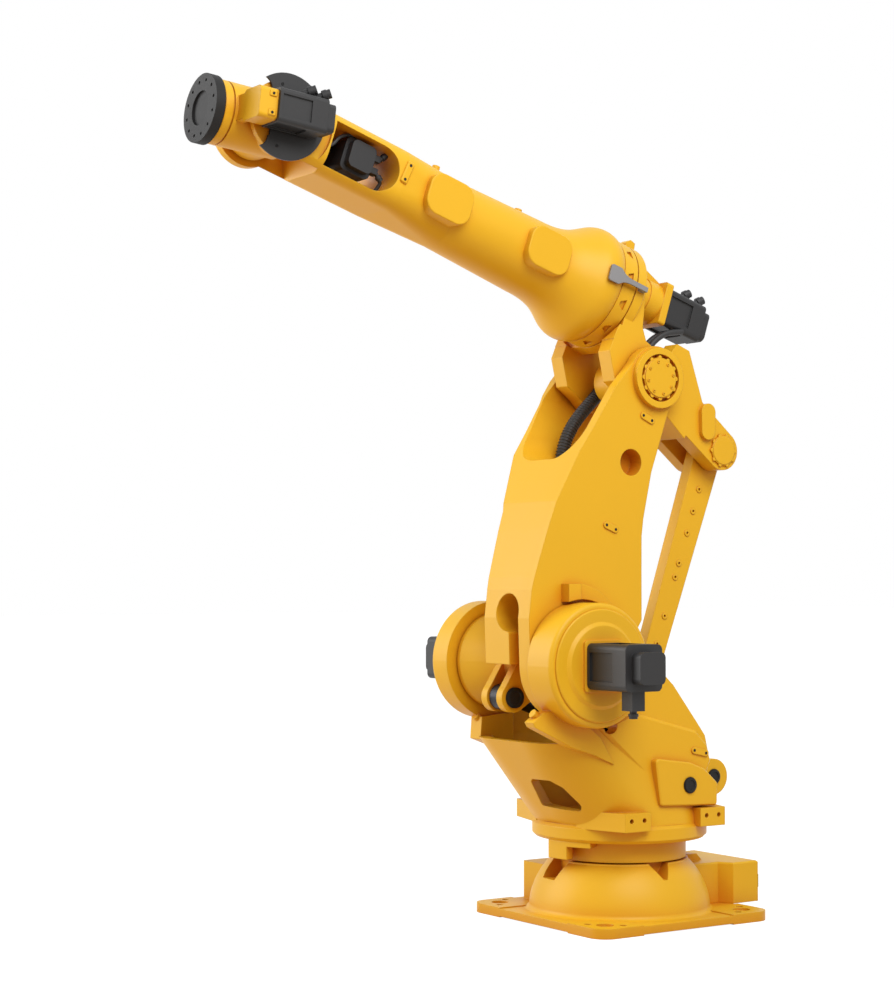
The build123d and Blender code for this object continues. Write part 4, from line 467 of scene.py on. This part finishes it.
# Plugs and leads of the bend motor in the forearm's window
PLUG_BLOCK = (0.030, 0.032, 0.026)
PLUG_BLOCKS = ((1.376, 0.090, 0.340), (1.376, 0.090, 0.292))
BEND_PLUGS = (((1.362, 0.092, 0.342), (-0.55, 0.15, 0.80), 0.036),
              ((1.362, 0.092, 0.290), (-0.80, 0.1, -0.55), 0.034))
BEND_PLUG_RADIUS, BEND_LEAD_RADIUS = 0.013, 0.007
BEND_LEADS = (((1.338, 0.094, 0.272), (1.332, 0.090, 0.262), (1.334, 0.078, 0.240),
               (1.345, 0.060, 0.205)),
              ((1.400, 0.050, 0.372), (1.440, 0.070, 0.386), (1.500, 0.088, 0.382),
               (1.545, 0.100, 0.352), (1.570, 0.104, 0.310), (1.605, 0.104, 0.285)))
make("bend_motor_plugs",
     [block(PLUG_BLOCK, Matrix.Translation(upper @ Vector(p)) @ upper_turn.to_4x4())
      for p in PLUG_BLOCKS]
     + [connector(axis_at(upper @ Vector(p), upper_turn @ Vector(axis)), reach, BEND_PLUG_RADIUS)
        for p, axis, reach in BEND_PLUGS], "black_motor", "forearm")
make("bend_motor_leads",
     [tube([upper @ Vector(q) for q in lead], BEND_LEAD_RADIUS, steps=12) for lead in BEND_LEADS],
     "hose_rubber", "forearm")

# Leads under the roll motor
ROLL_LEAD = ((-0.020, 0.060), (-0.058, 0.180), (-0.112, 0.250), (-0.190, 0.292))
ROLL_LEAD_SIDES, ROLL_LEAD_RADIUS = (0.045, 0.080), 0.012
make("roll_motor_leads",
     [tube([upper @ Vector((u, y, v)) for u, v in ROLL_LEAD], ROLL_LEAD_RADIUS, steps=14)
      for y in ROLL_LEAD_SIDES], "hose_rubber", "upper_arm")

# Bosses and screws on the seat of the flange motor, and screws of the guard disc
BOSS, BOSS_EDGE, BOSS_SINK = (0.030, 0.014, 0.024), 0.003, 0.003
BOSS_ALONG, BOSS_HEIGHTS = 0.122, (-0.034, 0.034)
GUARD_SCREW_ALONG, GUARD_SCREW_HEIGHTS = 0.030, (-0.112, 0.112)
seat_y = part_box("wrist_housing")[1].y
bosses = [wrist @ Vector((BOSS_ALONG, seat_y - BOSS_SINK, z)) for z in BOSS_HEIGHTS]
make("seat_bosses",
     [block(BOSS, Matrix.Translation(q) @ wrist_turn.to_4x4(), BOSS_EDGE) for q in bosses],
     "yellow_paint", "wrist")
make("seat_screws", pad_screws([(q.x, q.y + BOSS[1] / 2, q.z) for q in bosses], head=0.005),
     "black_steel", "wrist")
guard_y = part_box("guard_disc")[1].y
make("guard_screws",
     pad_screws([wrist @ Vector((GUARD_SCREW_ALONG, guard_y, z)) for z in GUARD_SCREW_HEIGHTS],
                head=0.006, tall=0.002), "black_steel", "wrist")


# Floor, light and camera
def white_rays(tree):
    """One for rays from the camera, a mirror or glass, and zero for those that light the object."""
    path = tree.nodes.new("ShaderNodeLightPath")
    seen = path.outputs["Is Camera Ray"]
    for kind in ("Is Glossy Ray", "Is Transmission Ray"):
        either = tree.nodes.new("ShaderNodeMath")
        either.operation = "MAXIMUM"
        tree.links.new(seen, either.inputs[0])
        tree.links.new(path.outputs[kind], either.inputs[1])
        seen = either.outputs[0]
    return seen


def area(name, spot, target, size, power):
    lamp = bpy.data.lights.new(name, "AREA")
    lamp.shape = "SQUARE"
    lamp.size = size
    lamp.energy = power
    obj = bpy.data.objects.new(name, lamp)
    scene.collection.objects.link(obj)
    obj.location = spot
    aim = Vector(target) - Vector(spot)
    obj.rotation_euler = aim.to_track_quat("-Z", "Y").to_euler()


WHITE = (1.0, 1.0, 1.0, 1.0)
FLOOR_SIZE, FLOOR_GLOW = 120.0, 0.9
FLOOR_ROUGHNESS, FLOOR_SHINE = 0.9, 0.1
FLOOR_BOUNCE, FLOOR_SEEN = (0.62, 0.42, 0.24), (0.3, 0.3, 0.3)
SKY_LIGHT, SKY_SEEN = 0.42, 1.0
ARM_MIDDLE = (0.4, 0.0, 1.6)

floor_mat, floor_tree, floor_shader = material("white_floor")
floor_rays = white_rays(floor_tree)
floor_tree.links.new(mixed(floor_tree, floor_rays, FLOOR_BOUNCE, FLOOR_SEEN),
                     floor_shader.inputs["Base Color"])
floor_shader.inputs["Roughness"].default_value = FLOOR_ROUGHNESS
floor_shader.inputs["Specular IOR Level"].default_value = FLOOR_SHINE
floor_shader.inputs["Emission Color"].default_value = WHITE
floor_tree.links.new(ranged(floor_tree, floor_rays, 0.0, FLOOR_GLOW),
                     floor_shader.inputs["Emission Strength"])
bpy.ops.mesh.primitive_plane_add(size=FLOOR_SIZE, location=(0.0, 0.0, 0.0))
floor = bpy.context.object
floor.name = "floor"
floor.data.materials.append(floor_mat)

world = bpy.data.worlds.new("studio")
scene.world = world
world.use_nodes = True
sky_tree = world.node_tree
sky = sky_tree.nodes["Background"]
sky.inputs["Color"].default_value = WHITE
sky_tree.links.new(ranged(sky_tree, white_rays(sky_tree), SKY_LIGHT, SKY_SEEN),
                   sky.inputs["Strength"])

area("key", spot=(1.5, 5.5, 6.5), target=ARM_MIDDLE, size=5.0, power=480.0)
area("fill", spot=(5.2, -4.0, 3.0), target=ARM_MIDDLE, size=4.5, power=280.0)

# Camera as solved from the photo
CAMERA_SPOT = (5.26857, 6.59069, 1.34695)
CAMERA_YAW, CAMERA_PITCH = math.radians(33.98), math.radians(-2.0785)
camera_data = bpy.data.cameras.new("camera")
camera_data.sensor_width = 36.0
camera_data.lens = 75.64
camera_data.clip_end = 300.0
camera = bpy.data.objects.new("camera", camera_data)
scene.collection.objects.link(camera)
level = math.cos(CAMERA_PITCH)
back = Vector((math.sin(CAMERA_YAW) * level, math.cos(CAMERA_YAW) * level, math.sin(CAMERA_PITCH)))
right = Vector((-math.cos(CAMERA_YAW), math.sin(CAMERA_YAW), 0.0))
up = back.cross(right)
turn = Matrix((right, up, back)).transposed()
camera.matrix_world = Matrix.Translation(CAMERA_SPOT) @ turn.to_4x4()
scene.camera = camera
scene.view_settings.view_transform = "Standard"
